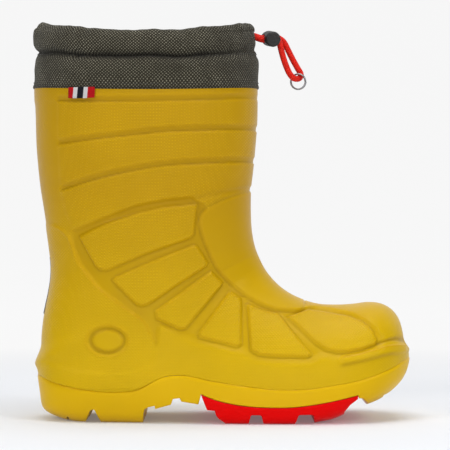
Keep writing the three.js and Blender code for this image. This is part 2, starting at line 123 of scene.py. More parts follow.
def section_value(column, at):
    """A column of SECTIONS at any place along the boot, on a smooth curve."""
    t = SECTIONS
    i = max(1, int(np.searchsorted(t[:, 0], at)))
    i = min(i, len(t) - 1)
    x0, x1 = t[i - 1, 0], t[i, 0]
    y0, y1 = t[i - 1, column], t[i, column]
    span = x1 - x0
    f = (at - x0) / span
    s0 = span * (y1 - t[i - 2, column]) / (x1 - t[i - 2, 0]) if i > 1 else y1 - y0
    last = i + 1 >= len(t)
    s1 = y1 - y0 if last else span * (t[i + 1, column] - y0) / (t[i + 1, 0] - x0)
    return (y0 * (2 * f**3 - 3 * f * f + 1) + s0 * (f**3 - 2 * f * f + f)
            + y1 * (3 * f * f - 2 * f**3) + s1 * (f**3 - f * f))


def section(at):
    """Origin, direction, near, far, half width, widest, squareness of both ends, across."""
    origin = PIVOT.copy()
    direction = np.array([-1.0, 0.0])
    taper = 1.0
    if at < 1:
        origin[1] = RIM_Z + (PIVOT[1] - RIM_Z) * at
    elif at <= 2:
        a = (at - 1) * math.pi / 2
        direction = np.array([-math.cos(a), -math.sin(a)])
    else:
        share = min(math.sin((at - 2) * math.pi / 2), 1 - 1e-6)
        origin[0] += (TOE_TIP[0] - PIVOT[0]) * share
        direction = np.array([0.0, -1.0])
        taper = (1 - share**TOE_ROUNDNESS) ** (1 / TOE_ROUNDNESS)
    near = crossing(origin, direction, FRONT, False)
    far = crossing(origin, direction, BACK, True)
    half = section_value(1, 2) * taper if at > 2 else section_value(1, at)
    return [origin, direction, near, far, half] + [section_value(c, at) for c in (2, 3, 4, 5)]


def ring_points(at, angles, by=0.0):
    """The points of a section at some angles round it, moved in by an inset."""
    origin, direction, near, far, half, widest, top, bottom, across = section(at)
    if at <= 2:
        near, far, half = near + by, far - by, half - by
    else:
        ball = section(2)
        tall = 1 - 2 * by / (ball[3] - ball[2])
        toe = TOE_TIP[0] - PIVOT[0]
        middle = (near + far) / 2
        near, far = middle + (near - middle) * tall, middle + (far - middle) * tall
        half *= 1 - by / ball[4]
        origin = np.array([PIVOT[0] + (origin[0] - PIVOT[0]) * (1 - by / toe), origin[1]])
    c, s = np.cos(angles), np.sin(angles)
    power = np.where(c > 0, 2 / top, 2 / bottom)
    middle = near + (far - near) * widest
    place = middle + np.where(c > 0, near - middle, far - middle) * np.abs(c) ** power
    dip = RIM_DIP * s * s * min(max(1 - at * 2, 0), 1)
    return np.stack([
        origin[0] + direction[0] * place,
        across + half * np.sign(s) * np.abs(s) ** power,
        origin[1] + direction[1] * place - dip,
    ], 1)


ANGLES = np.linspace(0, 2 * math.pi, 2401)
COLUMNS = 320


def even_ring(at, by=0.0, columns=COLUMNS, lift=0.0):
    """A section's outline as points spaced evenly round it, from its front or top."""
    p = ring_points(at, ANGLES, by)
    run = running_length(p)
    want = np.linspace(0, run[-1], columns, endpoint=False)
    out = np.stack([np.interp(want, run, p[:, k]) for k in range(3)], 1)
    out[:, 2] += lift
    return out


def running_length(points):
    """How far along a line of points each point lies."""
    return np.concatenate([[0], np.cumsum(np.linalg.norm(np.diff(points, axis=0), axis=1))])


def bell(value, width):
    """A smooth bump of height 1 at 0."""
    return np.exp(-(value / width) ** 2)


def grid_normals(grid):
    """Outward normals of a grid of points whose columns close on themselves."""
    across = np.roll(grid, -1, 1) - np.roll(grid, 1, 1)
    along = np.empty_like(grid)
    along[1:-1] = grid[2:] - grid[:-2]
    along[0], along[-1] = grid[1] - grid[0], grid[-1] - grid[-2]
    n = np.cross(along, across)
    return n / np.maximum(np.linalg.norm(n, axis=2, keepdims=True), 1e-9)


def grid_triangles(rows, columns, first=0):
    """Triangles of a grid that closes round its columns."""
    i, j = np.meshgrid(np.arange(rows - 1), np.arange(columns), indexing="ij")
    a, b = first + i * columns + j, first + i * columns + (j + 1) % columns
    c, d = a + columns, b + columns
    return np.concatenate([
        np.stack([a, c, d], -1).reshape(-1, 3), np.stack([a, d, b], -1).reshape(-1, 3)
    ])


def clip(points, triangles, keep, extra):
    """The part of a mesh where keep is above 0, with its cut edge. extra is carried along."""
    inside = keep[triangles] > 0
    count = inside.sum(1)
    points, extra = list(points), list(extra)
    made, faces, edge = {}, [t for t in triangles[count == 3].tolist()], []

    def cut(a, b):
        key = (min(a, b), max(a, b))
        if key not in made:
            k = keep[a] / (keep[a] - keep[b])
            made[key] = len(points)
            points.append(points[a] + (points[b] - points[a]) * k)
            extra.append(extra[a] + (extra[b] - extra[a]) * k)
        return made[key]

    for t, side in zip(triangles[(count == 1) | (count == 2)], inside[(count == 1) | (count == 2)]):
        k = int(np.argmax(side)) if side.sum() == 1 else int(np.argmin(side))
        a, b, c = int(t[k]), int(t[(k + 1) % 3]), int(t[(k + 2) % 3])
        p, q = cut(a, b), cut(a, c)
        if side.sum() == 1:
            faces.append([a, p, q])
            edge.append((p, q))
        else:
            faces += [[p, b, c], [p, c, q]]
            edge.append((q, p))
    return np.array(points), faces, edge, np.array(extra)


def mesh_object(name, points, faces, smooth=True, values=None):
    """An object from points in millimetres. values are named numbers, one for each point."""
    mesh = bpy.data.meshes.new(name)
    mesh.from_pydata((np.asarray(points) * 0.001).tolist(), [], [list(map(int, f)) for f in faces])
    for key, data in (values or {}).items():
        attribute = mesh.attributes.new(key, "FLOAT", "POINT")
        attribute.data.foreach_set("value", np.asarray(data, np.float32))
    mesh.validate()
    mesh.update()
    if smooth:
        mesh.shade_smooth()
    made = bpy.data.objects.new(name, mesh)
    bpy.context.scene.collection.objects.link(made)
    drop_loose(made)
    return made


CLOTH_THICKNESS = 0.0006


def thicken(made, offset):
    """Gives a sheet its thickness, in metres: offset 0 is both ways and -1 is inwards."""
    thick = made.modifiers.new("thickness", "SOLIDIFY")
    thick.thickness, thick.offset = CLOTH_THICKNESS, offset


def drop_loose(made):
    """Takes away the points that no face uses."""
    bm = bmesh.new()
    bm.from_mesh(made.data)
    bmesh.ops.delete(bm, geom=[v for v in bm.verts if not v.link_faces], context="VERTS")
    bm.to_mesh(made.data)
    bm.free()


# ---- Relief of the upper, drawn on its side elevation ----
def ramp(value, low, high):
    """Rises smoothly from 0 at low to 1 at high."""
    t = np.clip((value - low) / (high - low), 0, 1)
    return t * t * (3 - 2 * t)


def to_line(line, x, z):
    """Distance from an open line."""
    best = np.full(x.shape, 1e9)
    for (x0, z0), (x1, z1) in zip(line[:-1], line[1:]):
        dx, dz = x1 - x0, z1 - z0
        k = np.clip(((x - x0) * dx + (z - z0) * dz) / (dx * dx + dz * dz), 0, 1)
        best = np.minimum(best, np.hypot(x - x0 - k * dx, z - z0 - k * dz))
    return best


def inside(outline, x, z):
    """Distance into a closed outline: above 0 inside it and below 0 outside."""
    closed = list(outline) + [outline[0]]
    odd = np.zeros(x.shape, bool)
    for (x0, z0), (x1, z1) in zip(closed[:-1], closed[1:]):
        if z0 == z1:
            continue
        odd ^= ((z0 > z) != (z1 > z)) & (x < (x1 - x0) * (z - z0) / (z1 - z0) + x0)
    return np.where(odd, 1, -1) * to_line(closed, x, z)


def above(line, x, z):
    """Height above a line that runs along x."""
    return z - np.interp(x, *np.array(line).T)


def curve(points, count=40):
    return [tuple(p) for p in spline(points, count)]


RIM_GROOVE = curve([(-140, 191.5), (-108, 189.9), (-82, 188.6), (-56, 188.2), (-30, 188.6),
                    (-6, 189.5), (18, 191.4), (40, 192)])
GROOVE_2 = curve([(-95.7, 163.9), (-76, 166.3), (-57.4, 168.3), (-30.7, 170.9), (-6.6, 171.9),
                  (18, 173), (40, 173.6)])
GROOVE_3 = curve([(-94.3, 137), (-80.5, 141.2), (-66.4, 145), (-48.6, 148.6), (-31, 151.2),
                  (-6.5, 152.8), (17, 154), (40, 154.6)])
GROOVE_4 = curve([(-86, 109.5), (-83.2, 110.8), (-65.8, 119.4), (-48.7, 125.2), (-32.7, 128.3),
                  (-17.7, 130), (-13, 131.2), (0.4, 134.2), (16.5, 137), (40, 140)])
HEEL_TOP = curve([(-125, 117), (-104, 116.3), (-96, 114.6), (-89.7, 110), (-86.4, 103), (-81.8, 92),
                  (-70, 78.4), (-62, 72.2), (-53.4, 66.3), (-46.7, 61.3), (-43.1, 57.3),
                  (-40.3, 51.5), (-38.2, 45), (-36, 38)])
SHIELD_EDGE = curve([(40, 140.6), (16.3, 135), (1, 129.6), (-8.5, 124.6), (-12, 119.6),
                     (-12, 113.5), (-9.6, 105.6), (-5.2, 95.6), (-1.2, 88.6), (6.6, 80.4),
                     (12, 76), (18, 72.2), (25, 68.6), (33, 66.4), (44, 65.6), (48.4, 66.6),
                     (49.4, 70), (50, 84)])
PANELS = [
    [(-83.4, 108.4), (-74.6, 112.8), (-64.5, 117), (-48, 122.4), (-33, 125.6), (-13.4, 127.6),
     (-14.6, 122), (-15.2, 116), (-15.6, 110), (-18, 107.6), (-43, 99), (-66.5, 89.2),
     (-70.4, 89.2), (-73.4, 91)],
    [(-63.8, 83.4), (-61.6, 85.2), (-50, 90.2), (-38.5, 95), (-26, 99.8), (-15.6, 103.6),
     (-13.6, 102.8), (-7.4, 93), (-8.4, 91.4), (-25.3, 80.8), (-42.4, 69.2), (-46.6, 68.2),
     (-50, 69.6)],
    [(-5.6, 88.2), (1, 81.6), (0.4, 80.2), (-10, 68), (-20.6, 55.4), (-24, 54.8), (-38, 61),
     (-38.6, 65.4)],
    [(5.2, 76.8), (11.4, 73), (11.8, 70), (11.4, 46.4), (9.6, 44.8), (-12.6, 50.2), (-13.4, 52.8)],
    [(15.2, 70), (24, 66.2), (33.6, 64.2), (36, 61.4), (44, 51), (52.4, 40.6), (50, 39.3),
     (30, 39.6), (21.6, 40.4), (16.8, 43)],
    [(38.6, 62.4), (45, 56.6), (54.6, 47.2), (60.4, 43.6), (66.6, 41.8), (73.4, 42),
     (82.2, 43.8), (89.6, 46.2), (91, 48.4), (88.4, 54.4), (83.2, 59.2), (75.4, 62.4),
     (62, 64.8), (51.6, 66.4)],
]
# The sunken ground that the panels of the instep and ankle stand up from.
SUNK = [(-88, 112), (-65.8, 120.6), (-48.7, 127), (-32.7, 130.2), (-17.7, 132), (-8.5, 126),
        (-10, 119), (-10, 112), (-4, 96), (2, 86), (12, 78), (25, 70), (37, 67.2), (49, 66.5),
        (55, 67.4), (66, 66), (77, 63.6), (85, 60.2), (90.6, 55), (93.4, 48.6), (91.8, 44.8),
        (83, 42.2), (73, 40.4), (66, 40.2), (58, 41.4), (52, 37.6), (30, 37.8), (20, 38.6),
        (13, 43.4), (-14, 48.4), (-22, 51.6), (-36, 57.4), (-38, 45), (-46.7, 61.3),
        (-53.9, 66.1), (-63.1, 72), (-71.2, 78.2), (-83, 92), (-87, 103)]
TOE_CREASE = curve([(91.5, 46.6), (98.7, 48.2), (103, 48.6), (108, 47.6), (116, 47)])
BUMPER_TOP = curve([(66, 38.8), (71.1, 39.9), (80.4, 41.6), (90.6, 43.9), (99, 45.4),
                    (108, 45.2), (120, 45)])
SOFT_STEP = curve([(-125, 37.5), (-112, 36.6), (-99.5, 35), (-85.3, 31.8), (-69, 30.3),
                   (-54.8, 30.8), (-45.9, 32.9), (-38, 37)])
BADGE = (-66.4, 48.1, 11.4, 8.3)


def channel(below, half, depth, crease):
    """A channel's height, and its painted shade in the floor and crease and painted highlight on the lips,
    by the distance above its middle line.
    """
    wall_high = 1 - ramp(below, half - 1.3, half + 0.5)
    wall_low = ramp(below, -half - 0.3, -half + 0.7)
    floor = wall_high * wall_low
    fold = bell(below + half - 0.75, 0.55)
    lip = bell(below + half + 0.75, 0.6) + 0.8 * bell(below - half - 0.6, 0.7)
    return -depth * floor - crease * fold + 0.12 * lip, -0.3 * floor - 0.75 * fold + 0.55 * lip, floor


def relief(x, z):
    """How far the upper's surface stands out, how woven it is, and its painted shade and painted
    highlights.
    """
    ahead = ramp(x - np.interp(z, [110, 123.5, 137, 165, 191], [-86, -91.6, -94.3, -95.8, -95.8]),
                 -0.8, 0.8)
    front = 1 - 0.45 * ramp(x, 4, 20)
    high = np.zeros(x.shape)
    # Painted light: painted shade darkens channels, recesses, creases and panel outlines, and painted
    # highlights lighten lips and edges.
    painted_light = np.zeros(x.shape)
    woven = np.full(x.shape, 0.45)
    for line, half, depth, start in ((RIM_GROOVE, 1.75, 0.7, ahead * (1 - 0.4 * ramp(x, 4, 20))),
                                     (GROOVE_2, 1.9, 1.0, ahead), (GROOVE_3, 1.9, 1.0, ahead)):
        rise, shade, floor = channel(above(line, x, z), half, depth, 0.35)
        high += rise * start * front
        painted_light += shade * start
        woven = np.minimum(woven, 1 - floor * start)
    woven = np.where((z < 188) & (x > -96) & (z > 108), np.minimum(woven + 0.45, 1), woven)
    off = np.abs(above(GROOVE_4, x, z))
    shaft_foot = (1 - ramp(off, 0.6, 2.0)) * ramp(x, -88, -83) * ramp(z, 106, 112)
    high -= 0.7 * shaft_foot
    # The back of the shaft lies a little lower than its bands.
    high -= 0.35 * (1 - ahead) * ramp(z, 112, 118) * (1 - ramp(z, 186, 190))
    edge = np.abs(ahead - 0.5) < 0.45
    painted_light += 0.25 * edge * ramp(z, 112, 118) * (1 - ramp(z, 184, 190))
    depth = inside(SUNK, x, z)
    low_edge = ramp(x, -34, -24) * (1 - ramp(z - np.interp(x, [-30, 12, 60, 95], [64, 58, 50, 52]), -4, 2))
    sunk = ramp(depth, -0.7 - 3.5 * low_edge, 0.8 + 1.6 * low_edge)
    raised = np.zeros(x.shape)
    around = np.full(x.shape, -9.0)
    for panel in PANELS:
        off = inside(panel, x, z)
        around = np.maximum(around, off)
        raised = np.maximum(raised, ramp(off, -0.6, 0.9))
    high -= 1.45 * sunk * (1 - raised)
    high -= 0.3 * bell(around + 0.75, 0.55) * sunk
    high += 0.15 * bell(around - 1.1, 0.8) * sunk
    painted_light -= 0.22 * sunk * (1 - raised)
    painted_light -= 0.45 * bell(around + 0.55, 0.6) * sunk
    painted_light += 0.7 * bell(around - 0.9, 0.7) * sunk
    painted_light += 0.5 * bell(depth + 0.9, 0.6) * (z > 60) * (1 - low_edge)
    woven = np.where(sunk > 0.5, raised, woven)
    shield = ramp(inside(SHIELD_EDGE + [(70, 84), (70, 140)], x, z), -0.7, 0.9)
    high = high * (1 - shield) + 0.15 * shield
    painted_light *= 1 - shield
    line = to_line(SHIELD_EDGE, x, z)
    rim = 1 - ramp(line, 0.3, 1.5)
    high -= 0.5 * rim * (1 - shield)
    painted_light -= 0.7 * bell(line - 0.5, 0.6) * (1 - shield)
    painted_light += 0.5 * bell(line - 0.7, 0.7) * shield
    woven = np.where(shield > 0.5, 0.2, woven)
    heel_in = inside(HEEL_TOP + [(-36, 20), (-125, 20)], x, z)
    heel = ramp(heel_in, -0.6, 0.8)
    front_fade = 1 - ramp(x, -44, -34)
    high += 0.55 * heel * np.where(z < 62, front_fade, 1) * ramp(x, -108, -98)
    lip_line = to_line(HEEL_TOP, x, z)
    lip = (1 - ramp(lip_line, 0.5, 2.2)) * ramp(z, 44, 60) * heel * ramp(x, -108, -98)
    high += 0.5 * lip
    # A painted highlight along the heel counter's top edge.
    painted_light += 1.0 * lip * (1 - ramp(lip_line, 0.6, 1.6))
    woven = np.where(heel > 0.5, 0.8, woven)
    # The oval recess on the heel with a plain raised pad in it, painted shade in the recess and a painted
    # highlight round its rim.
    bx, bz, wide, tall = BADGE  # middle and half sizes
    oval = np.hypot((x - bx) / wide, (z - bz) / tall)
    pad = np.hypot((x - bx - 0.3) / (wide - 2.4), (z - bz - 0.2) / (tall - 2.2))
    high -= 1.3 * (1 - ramp(oval, 0.92, 1.04))
    high += 1.2 * (1 - ramp(pad, 0.88, 1.06))
    high += 0.3 * (1 - ramp(np.abs(oval - 1.12), 0.02, 0.12))
    painted_light -= 0.8 * (1 - ramp(oval, 0.9, 1.02)) * ramp(pad, 0.9, 1.06)
    painted_light += 0.6 * (1 - ramp(np.abs(oval - 1.1), 0.02, 0.12))
    woven = np.where(oval < 1.05, 0, woven)
    # The step at the heel's foot, the crease under the toe cap with painted shade in it, and the bumper
    # below it with a painted highlight on its top edge and painted shade under it.
    under = -above(SOFT_STEP, x, z)
    high += 0.6 * ramp(under, -0.3, 2.2) * (1 - ramp(x, -52, -38)) * ramp(x, -110, -100)
    crease = to_line(TOE_CREASE, x, z) / (1 + 0.7 * ramp(x, 99, 106))
    high -= 0.9 * (1 - ramp(crease, 0.2, 1.5))
    painted_light -= 0.9 * (1 - ramp(crease, 0.2, 1.3))
    drop = -above(BUMPER_TOP, x, z)
    start = ramp(x, 67, 72)
    high += 1.35 * ramp(drop, -0.5, 0.7) * start * (1 - 0.75 * ramp(drop, 4.0, 6.2))
    painted_light += 1.2 * bell(drop - 0.6, 0.8) * start * (1 - 0.5 * ramp(x, 94, 106))
    painted_light -= 0.7 * bell(drop - 5.4, 1.1) * start * (1 - ramp(x, 98, 108))
    return high, np.clip(woven, 0, 1), np.clip(painted_light, -1.6, 1.3)


JOINT_LINE = [
    (-130, 28), (-109, 26.6), (-98, 23.2), (-82, 19.9), (-68, 18.4), (-55, 18.7), (-48, 20.2),
    (-41, 23.8), (-34, 27), (-27, 28.2), (-19, 27.7), (-6, 25), (17, 21.6), (33, 20.1),
    (49, 20.3), (60, 21.7), (74, 24), (87, 27.4), (100, 32), (108, 35.8), (130, 44),
]
JOINT = np.array(curve(JOINT_LINE, 300))


def joint(x):
    return np.interp(x, JOINT[:, 0], JOINT[:, 1])


# ---- Grids of the boot ----
def boot_rows():
    return np.concatenate([
        np.linspace(0.006, 1, 92, endpoint=False), np.linspace(1, 1.78, 180, endpoint=False),
        np.linspace(1.78, 2, 28, endpoint=False), np.linspace(2, 2.9965, 76),
    ])


rows = boot_rows()
skin = np.array([even_ring(at) for at in rows])
skin_normals = grid_normals(skin)
# One point on the shaft tells which way the grid and its normals face.
I, J = 20, 80
outwards = skin[I, J] - skin[I].mean(0)
if (skin_normals[I, J] * outwards).sum() < 0:
    skin_normals = -skin_normals
flip = np.cross(skin[I + 1, J] - skin[I, J], skin[I + 1, J + 1] - skin[I, J]) @ outwards < 0


def facing(faces):
    return [f[::-1] for f in faces] if flip else [list(f) for f in faces]


def close_toe(points, faces, last_row, columns=COLUMNS):
    """Adds the pole and the fan of triangles that shuts the last row."""
    tip = len(points)
    points = np.vstack([points, points[last_row:last_row + columns].mean(0)])
    fan = [(last_row + j, tip, last_row + (j + 1) % columns) for j in range(columns)]
    return points, np.vstack([faces, fan])


# ---- The upper ----
JOINT_GAP = 0.12  # between the upper and the outsole
WALL = 3.0


def make_upper():
    high, woven, painted_light = relief(skin[..., 0], skin[..., 2])
    fade = ramp(np.arange(len(rows)), 0, 3)[:, None]
    outer = skin + skin_normals * (high * fade)[..., None]
    lip = [even_ring(0, by, lift=up) for by, up in
           ((3.1, -9), (3.1, -0.8), (2.6, -0.15), (1.9, 0), (0.9, 0), (0.3, -0.25), (0.05, -0.7))]
    grid = np.concatenate([np.array(lip), outer])
    flat = grid.reshape(-1, 3)
    faces = grid_triangles(len(grid), COLUMNS)
    flat, faces = close_toe(flat, faces, (len(grid) - 1) * COLUMNS)
    normals = np.concatenate([np.zeros((len(lip), COLUMNS, 3)), skin_normals]).reshape(-1, 3)
    normals = np.vstack([normals, [1, 0, 0]])
    weave = np.concatenate([np.zeros((len(lip), COLUMNS)), woven]).reshape(-1)
    weave = np.append(weave, 0.5)
    # level carries the painted shade and painted highlights of the relief.
    level = np.append(np.concatenate([np.zeros((len(lip), COLUMNS)), painted_light]).reshape(-1), 0)
    keep = flat[:, 2] - joint(flat[:, 0]) - JOINT_GAP
    extra = np.column_stack([normals, weave, level])
    flat, faces, edge, extra = clip(flat, faces, keep, extra)
    flat, faces = turn_in(flat, faces, edge, extra[:, :3], WALL)
    more = len(flat) - len(extra)
    return mesh_object("upper_skin", flat, facing(faces), values={
        "weave": np.append(extra[:, 3], np.zeros(more)),
        "painted_light": np.append(extra[:, 4], np.zeros(more)),
    })


def turn_in(points, faces, edge, normals, depth):
    """Turns a cut edge inwards, so that the wall shows its thickness."""
    points, faces, made = list(points), list(faces), {}
    for a, b in edge:
        for v in (a, b):
            if v not in made:
                n = normals[v] / max(np.linalg.norm(normals[v]), 1e-6)
                made[v] = len(points)
                points.append(points[v] - n * depth)
        faces += [[a, made[a], made[b]], [a, made[b], b]]
    return np.array(points), faces


upper = make_upper()


# ---- Outsole and forefoot tread ----
def prism_faces(n):
    """Faces between two equal outlines of n points."""
    faces = [list(range(n)), list(range(2 * n - 1, n - 1, -1))]
    faces += [[(i + 1) % n, i, n + i, n + (i + 1) % n] for i in range(n)]
    return faces


def prism(name, outline, half=90):
    """A solid across the boot from an outline of (x, z) points."""
    n = len(outline)
    points = [(x, s * half, z) for s in (-1, 1) for x, z in outline]
    area = sum(a[0] * b[1] - b[0] * a[1] for a, b in zip(outline, outline[1:] + outline[:1]))
    faces = prism_faces(n)
    if area < 0:
        faces = [f[::-1] for f in faces]
    return mesh_object(name, points, faces, smooth=False)


def boolean(target, tool, operation):
    """Applies a boolean and throws the tool away."""
    modifier = target.modifiers.new(operation, "BOOLEAN")
    modifier.object, modifier.operation, modifier.solver = tool, operation, "EXACT"
    bpy.context.view_layer.objects.active = target
    graph = bpy.context.evaluated_depsgraph_get()
    made = bpy.data.meshes.new_from_object(target.evaluated_get(graph))
    target.modifiers.clear()
    target.data = made
    bpy.data.objects.remove(tool)


def sole_block(name, stand, every):
    """The closed form of the boot below the joint, standing out by a little."""
    part = skin[::, ::every]
    normals = skin_normals[::, ::every]
    columns = part.shape[1]
    depth = joint(part[..., 0]) - part[..., 2]
    out = stand * (1 - ramp(-depth, -1.6, 0.2) * 0.75)
    grid = part + normals * out[..., None]
    grid[..., 2] = np.maximum(grid[..., 2], 0)
    flat = grid.reshape(-1, 3)
    faces = grid_triangles(len(grid), columns)
    flat, faces = close_toe(flat, faces, (len(grid) - 1) * columns, columns)
    keep = joint(flat[:, 0]) - flat[:, 2]
    flat, faces, edge, _ = clip(flat, faces, keep, flat)
    middle = len(flat)
    flat = np.vstack([flat, [0, 0, 26]])
    faces = faces + [[a, middle, b] for a, b in edge]
    return mesh_object(name, flat, facing(faces))


TREAD_TOP = curve([(-11.8, 17.2), (-0.6, 13.2), (16, 10.4), (37, 9.8), (53, 11.3), (68, 14),
                   (79.2, 16.6)], 30)
HEEL_CHANNEL = [(-81, -5), (-79.8, 0), (-76.6, 7.2), (-75.8, 7.9), (-74.4, 7.9), (-73.6, 7.2),
                (-70.6, 0), (-70, -5)]
ARCH = [(-46.4, -5), (-45.2, 6.4), (-44.4, 8.6), (-42.8, 9.6), (-38.8, 10.6), (-38.4, 8.7),
        (-29.2, 11.4), (-28, 14.7), (-24.2, 15.2), (-23.2, 13.2), (-13.4, 11.7), (-12.8, 13.4)]
TREAD_FRONT = [(79.2, 14.6), (74.8, 11.2), (71.6, 7), (71.6, -5)]
TREAD_REAR = [(5, -5), (2, 0.6), (-1.4, 3.2), (-2.9, 4.9), (-3.9, 8), (-8.3, 8.4)]
TOE_STEP = [(80, 15), (82.2, 14.8), (85.6, 11.4), (85.6, -5)]
TOE_NOTCH = [(94.4, 6), (95.2, 15.8), (99, 16.8), (106, 6)]
TREAD_CHANNELS = [
    [(14.6, -5), (17, 5.1), (17.8, 5.6), (22.4, 5.6), (23.2, 5), (25.8, -5)],
    [(41, -5), (44.6, 5.3), (45.6, 5.8), (52.4, 5.8), (53.4, 5), (55.4, -5)],
]


def block(name, low, high):
    """A box between two corners."""
    (x0, y0, z0), (x1, y1, z1) = low, high
    points = [(x, y, z) for z in (z0, z1) for x, y in ((x0, y0), (x1, y0), (x1, y1), (x0, y1))]
    faces = [(0, 3, 2, 1), (4, 5, 6, 7), (0, 1, 5, 4), (1, 2, 6, 5), (2, 3, 7, 6), (3, 0, 4, 7)]
    return mesh_object(name, points, faces, smooth=False)


outsole = sole_block("outsole_skin", 0.75, 1)
recess = ARCH + [(x, z + 0.3) for x, z in TREAD_TOP] + TOE_STEP
boolean(outsole, prism("recess", recess), "DIFFERENCE")
boolean(outsole, prism("heel_channel", HEEL_CHANNEL), "DIFFERENCE")
boolean(outsole, prism("toe_notch", TOE_NOTCH), "DIFFERENCE")
for low, high in (((-90.8, -60, -2), (-89.8, 60, 2.7)), ((-100, -5, -2), (-42, 5, 6.5))):
    boolean(outsole, block("sipe", low, high), "DIFFERENCE")

tread = sole_block("tread_skin", 0.9, 2)
outline = TREAD_TOP + TREAD_FRONT + TREAD_REAR
boolean(tread, prism("tread_outline", outline), "INTERSECT")
for channel in TREAD_CHANNELS:
    boolean(tread, prism("channel", channel), "DIFFERENCE")


# ---- Collar ----
COLLAR_COLUMNS = 420


def collar_base(by, z, angles):
    """Points round the collar at an inset and height, lower at the sides of the boot."""
    p = ring_points(0, angles, by)
    dip = RIM_DIP + 0.14 * max(0, z - RIM_Z)
    p[:, 2] = z - dip * np.sin(angles) ** 2
    return p


def even_angles(count):
    """Angles that space points evenly round the rim."""
    p = ring_points(0, ANGLES)
    run = running_length(p)
    return np.interp(np.linspace(0, run[-1], count, endpoint=False), run, ANGLES), run[-1]


collar_angles, RIM_LENGTH = even_angles(COLLAR_COLUMNS)


def ripple(seed, waves, count=COLLAR_COLUMNS):
    """A smooth random line that closes on itself, from -1 to 1."""
    pick = np.random.RandomState(seed)
    t = np.linspace(0, 2 * math.pi, count, endpoint=False)
    line = sum(pick.uniform(0.4, 1) * np.sin(k * t + pick.uniform(0, 6.3)) for k in waves)
    return line / np.abs(line).max()


PROFILE = [
    (4.2, 190.5), (4.1, 195.5), (2.6, 197.9), (0.1, 198.5), (-0.5, 199.4), (-0.1, 201.4),
    (-0.4, 205), (-0.8, 210), (-0.6, 214), (1.0, 217), (2.7, 218.7), (1.7, 220.6), (0.8, 223.6),
    (0.8, 227.5), (1.5, 231), (3.0, 234.2), (5.2, 235.7), (7.3, 234), (8.4, 230), (8.7, 226),
    (8.0, 221.5), (7.3, 219.2),
]

# How far the collar's outer side lies in at its front and back, by height.
FRONT_SHIFT = ((199, 0), (206, 0.3), (214, 0.4), (219, 1.0), (224, 0.8), (231, 1.2))
BACK_SHIFT = ((199, 0.1), (204, 0.9), (208, 1.1), (212, 1.8), (216, 2.2), (219, 0.5), (223, -0.7),
              (230, -1.1))
WAIST_Z = 218.2
PROFILE_STEPS = 96
OUTER_ROWS = 66


def make_collar():
    """The collar's cloth: up the outer side, over the roll and down into the tunnel."""
    rows = spline(PROFILE, PROFILE_STEPS)
    fine, broad = ripple(3, (23, 31, 38, 47)), ripple(8, (5, 8, 11, 14))
    low, top = ripple(21, (4, 7, 12)), ripple(5, (3, 5, 7, 9, 13))
    grid = []
    to_front = np.clip(np.cos(collar_angles), 0, 1) ** 3
    to_back = np.clip(-np.cos(collar_angles), 0, 1) ** 3

    def hem(z):
        return 1 - float(ramp(np.array(z), 199.5, 206))

    def waist(z):
        return math.exp(-((z - WAIST_Z) / 1.7) ** 2)

    def shift(z, table):
        return float(np.interp(z, *np.array(table).T))

    for k, (by, z) in enumerate(rows):
        outer_side = float(k < OUTER_ROWS)
        pull = math.exp(-((z - 219) / 4.2) ** 2) if k < 70 else 0.4
        crown = float(ramp(np.array(z), 222, 236))
        belly = float(ramp(np.array(z), 199, 206)) * (1 - float(ramp(np.array(z), 212, 218)))
        depth = by * np.where(outer_side, 1 - waist(z) * 0.8 * to_front, 1)
        depth = depth + pull * (0.5 * fine + 0.35 * broad) + belly * 0.55 * low
        depth = depth + outer_side * (shift(z, FRONT_SHIFT) * to_front + shift(z, BACK_SHIFT) * to_back)
        depth = depth + outer_side * 1.9 * waist(z) * (1 - to_front - 0.7 * to_back)
        depth = depth + crown * 0.5 * np.roll(fine, 6) + (1 - pull) * crown * 0.5 * broad
        p = ring_points(0, collar_angles, 0)
        normal = p - ring_points(0, collar_angles, 1.0)
        p = p - normal * depth[:, None]
        dip = RIM_DIP + 0.125 * max(0, z - RIM_Z)
        p[:, 2] = z - dip * np.sin(collar_angles) ** 2 - 1.5 * hem(z)
        p[:, 2] += crown * (0.8 * top + 0.25 * fine) + pull * 0.7 * low
        grid.append(p)
    grid = np.array(grid)
    run = running_length(rows)
    flat = grid.reshape(-1, 3)
    # Painted shade: the fold at the waist and the hem of the outer side are darkened, and the cloth is
    # darker towards the front.
    valley = [max(math.exp(-((z - WAIST_Z) / 2.2) ** 2), 0.5 * (z < 200.2)) * (k < OUTER_ROWS)
              for k, z in enumerate(rows[:, 1])]
    shade = np.outer(valley, 1 - 0.55 * to_front)
    shade = np.maximum(shade, 0.35 * to_front).reshape(-1)
    made = mesh_object("collar_skin", flat, grid_triangles(len(grid), COLLAR_COLUMNS),
                       values={"shade": shade})
    around = np.linspace(0, RIM_LENGTH, COLLAR_COLUMNS, endpoint=False)
    u = np.tile(around, len(grid))
    v = np.repeat(run, COLLAR_COLUMNS)
    cloth_map(made, u, v, RIM_LENGTH)
    return made, grid, run[-1]


def cloth_map(made, u, v, period):
    """A UV map in millimetres for a cloth that closes round u."""
    layer = made.data.uv_layers.new(name="cloth")
    for face in made.data.polygons:
        us = [u[made.data.loops[i].vertex_index] for i in face.loop_indices]
        wrap = period if max(us) - min(us) > period / 2 else 0
        for i, value in zip(face.loop_indices, us):
            if wrap and value < period / 2:
                value += wrap
            layer.data[i].uv = (value, v[made.data.loops[i].vertex_index])


collar, collar_grid, collar_tall = make_collar()
thicken(collar, 0)

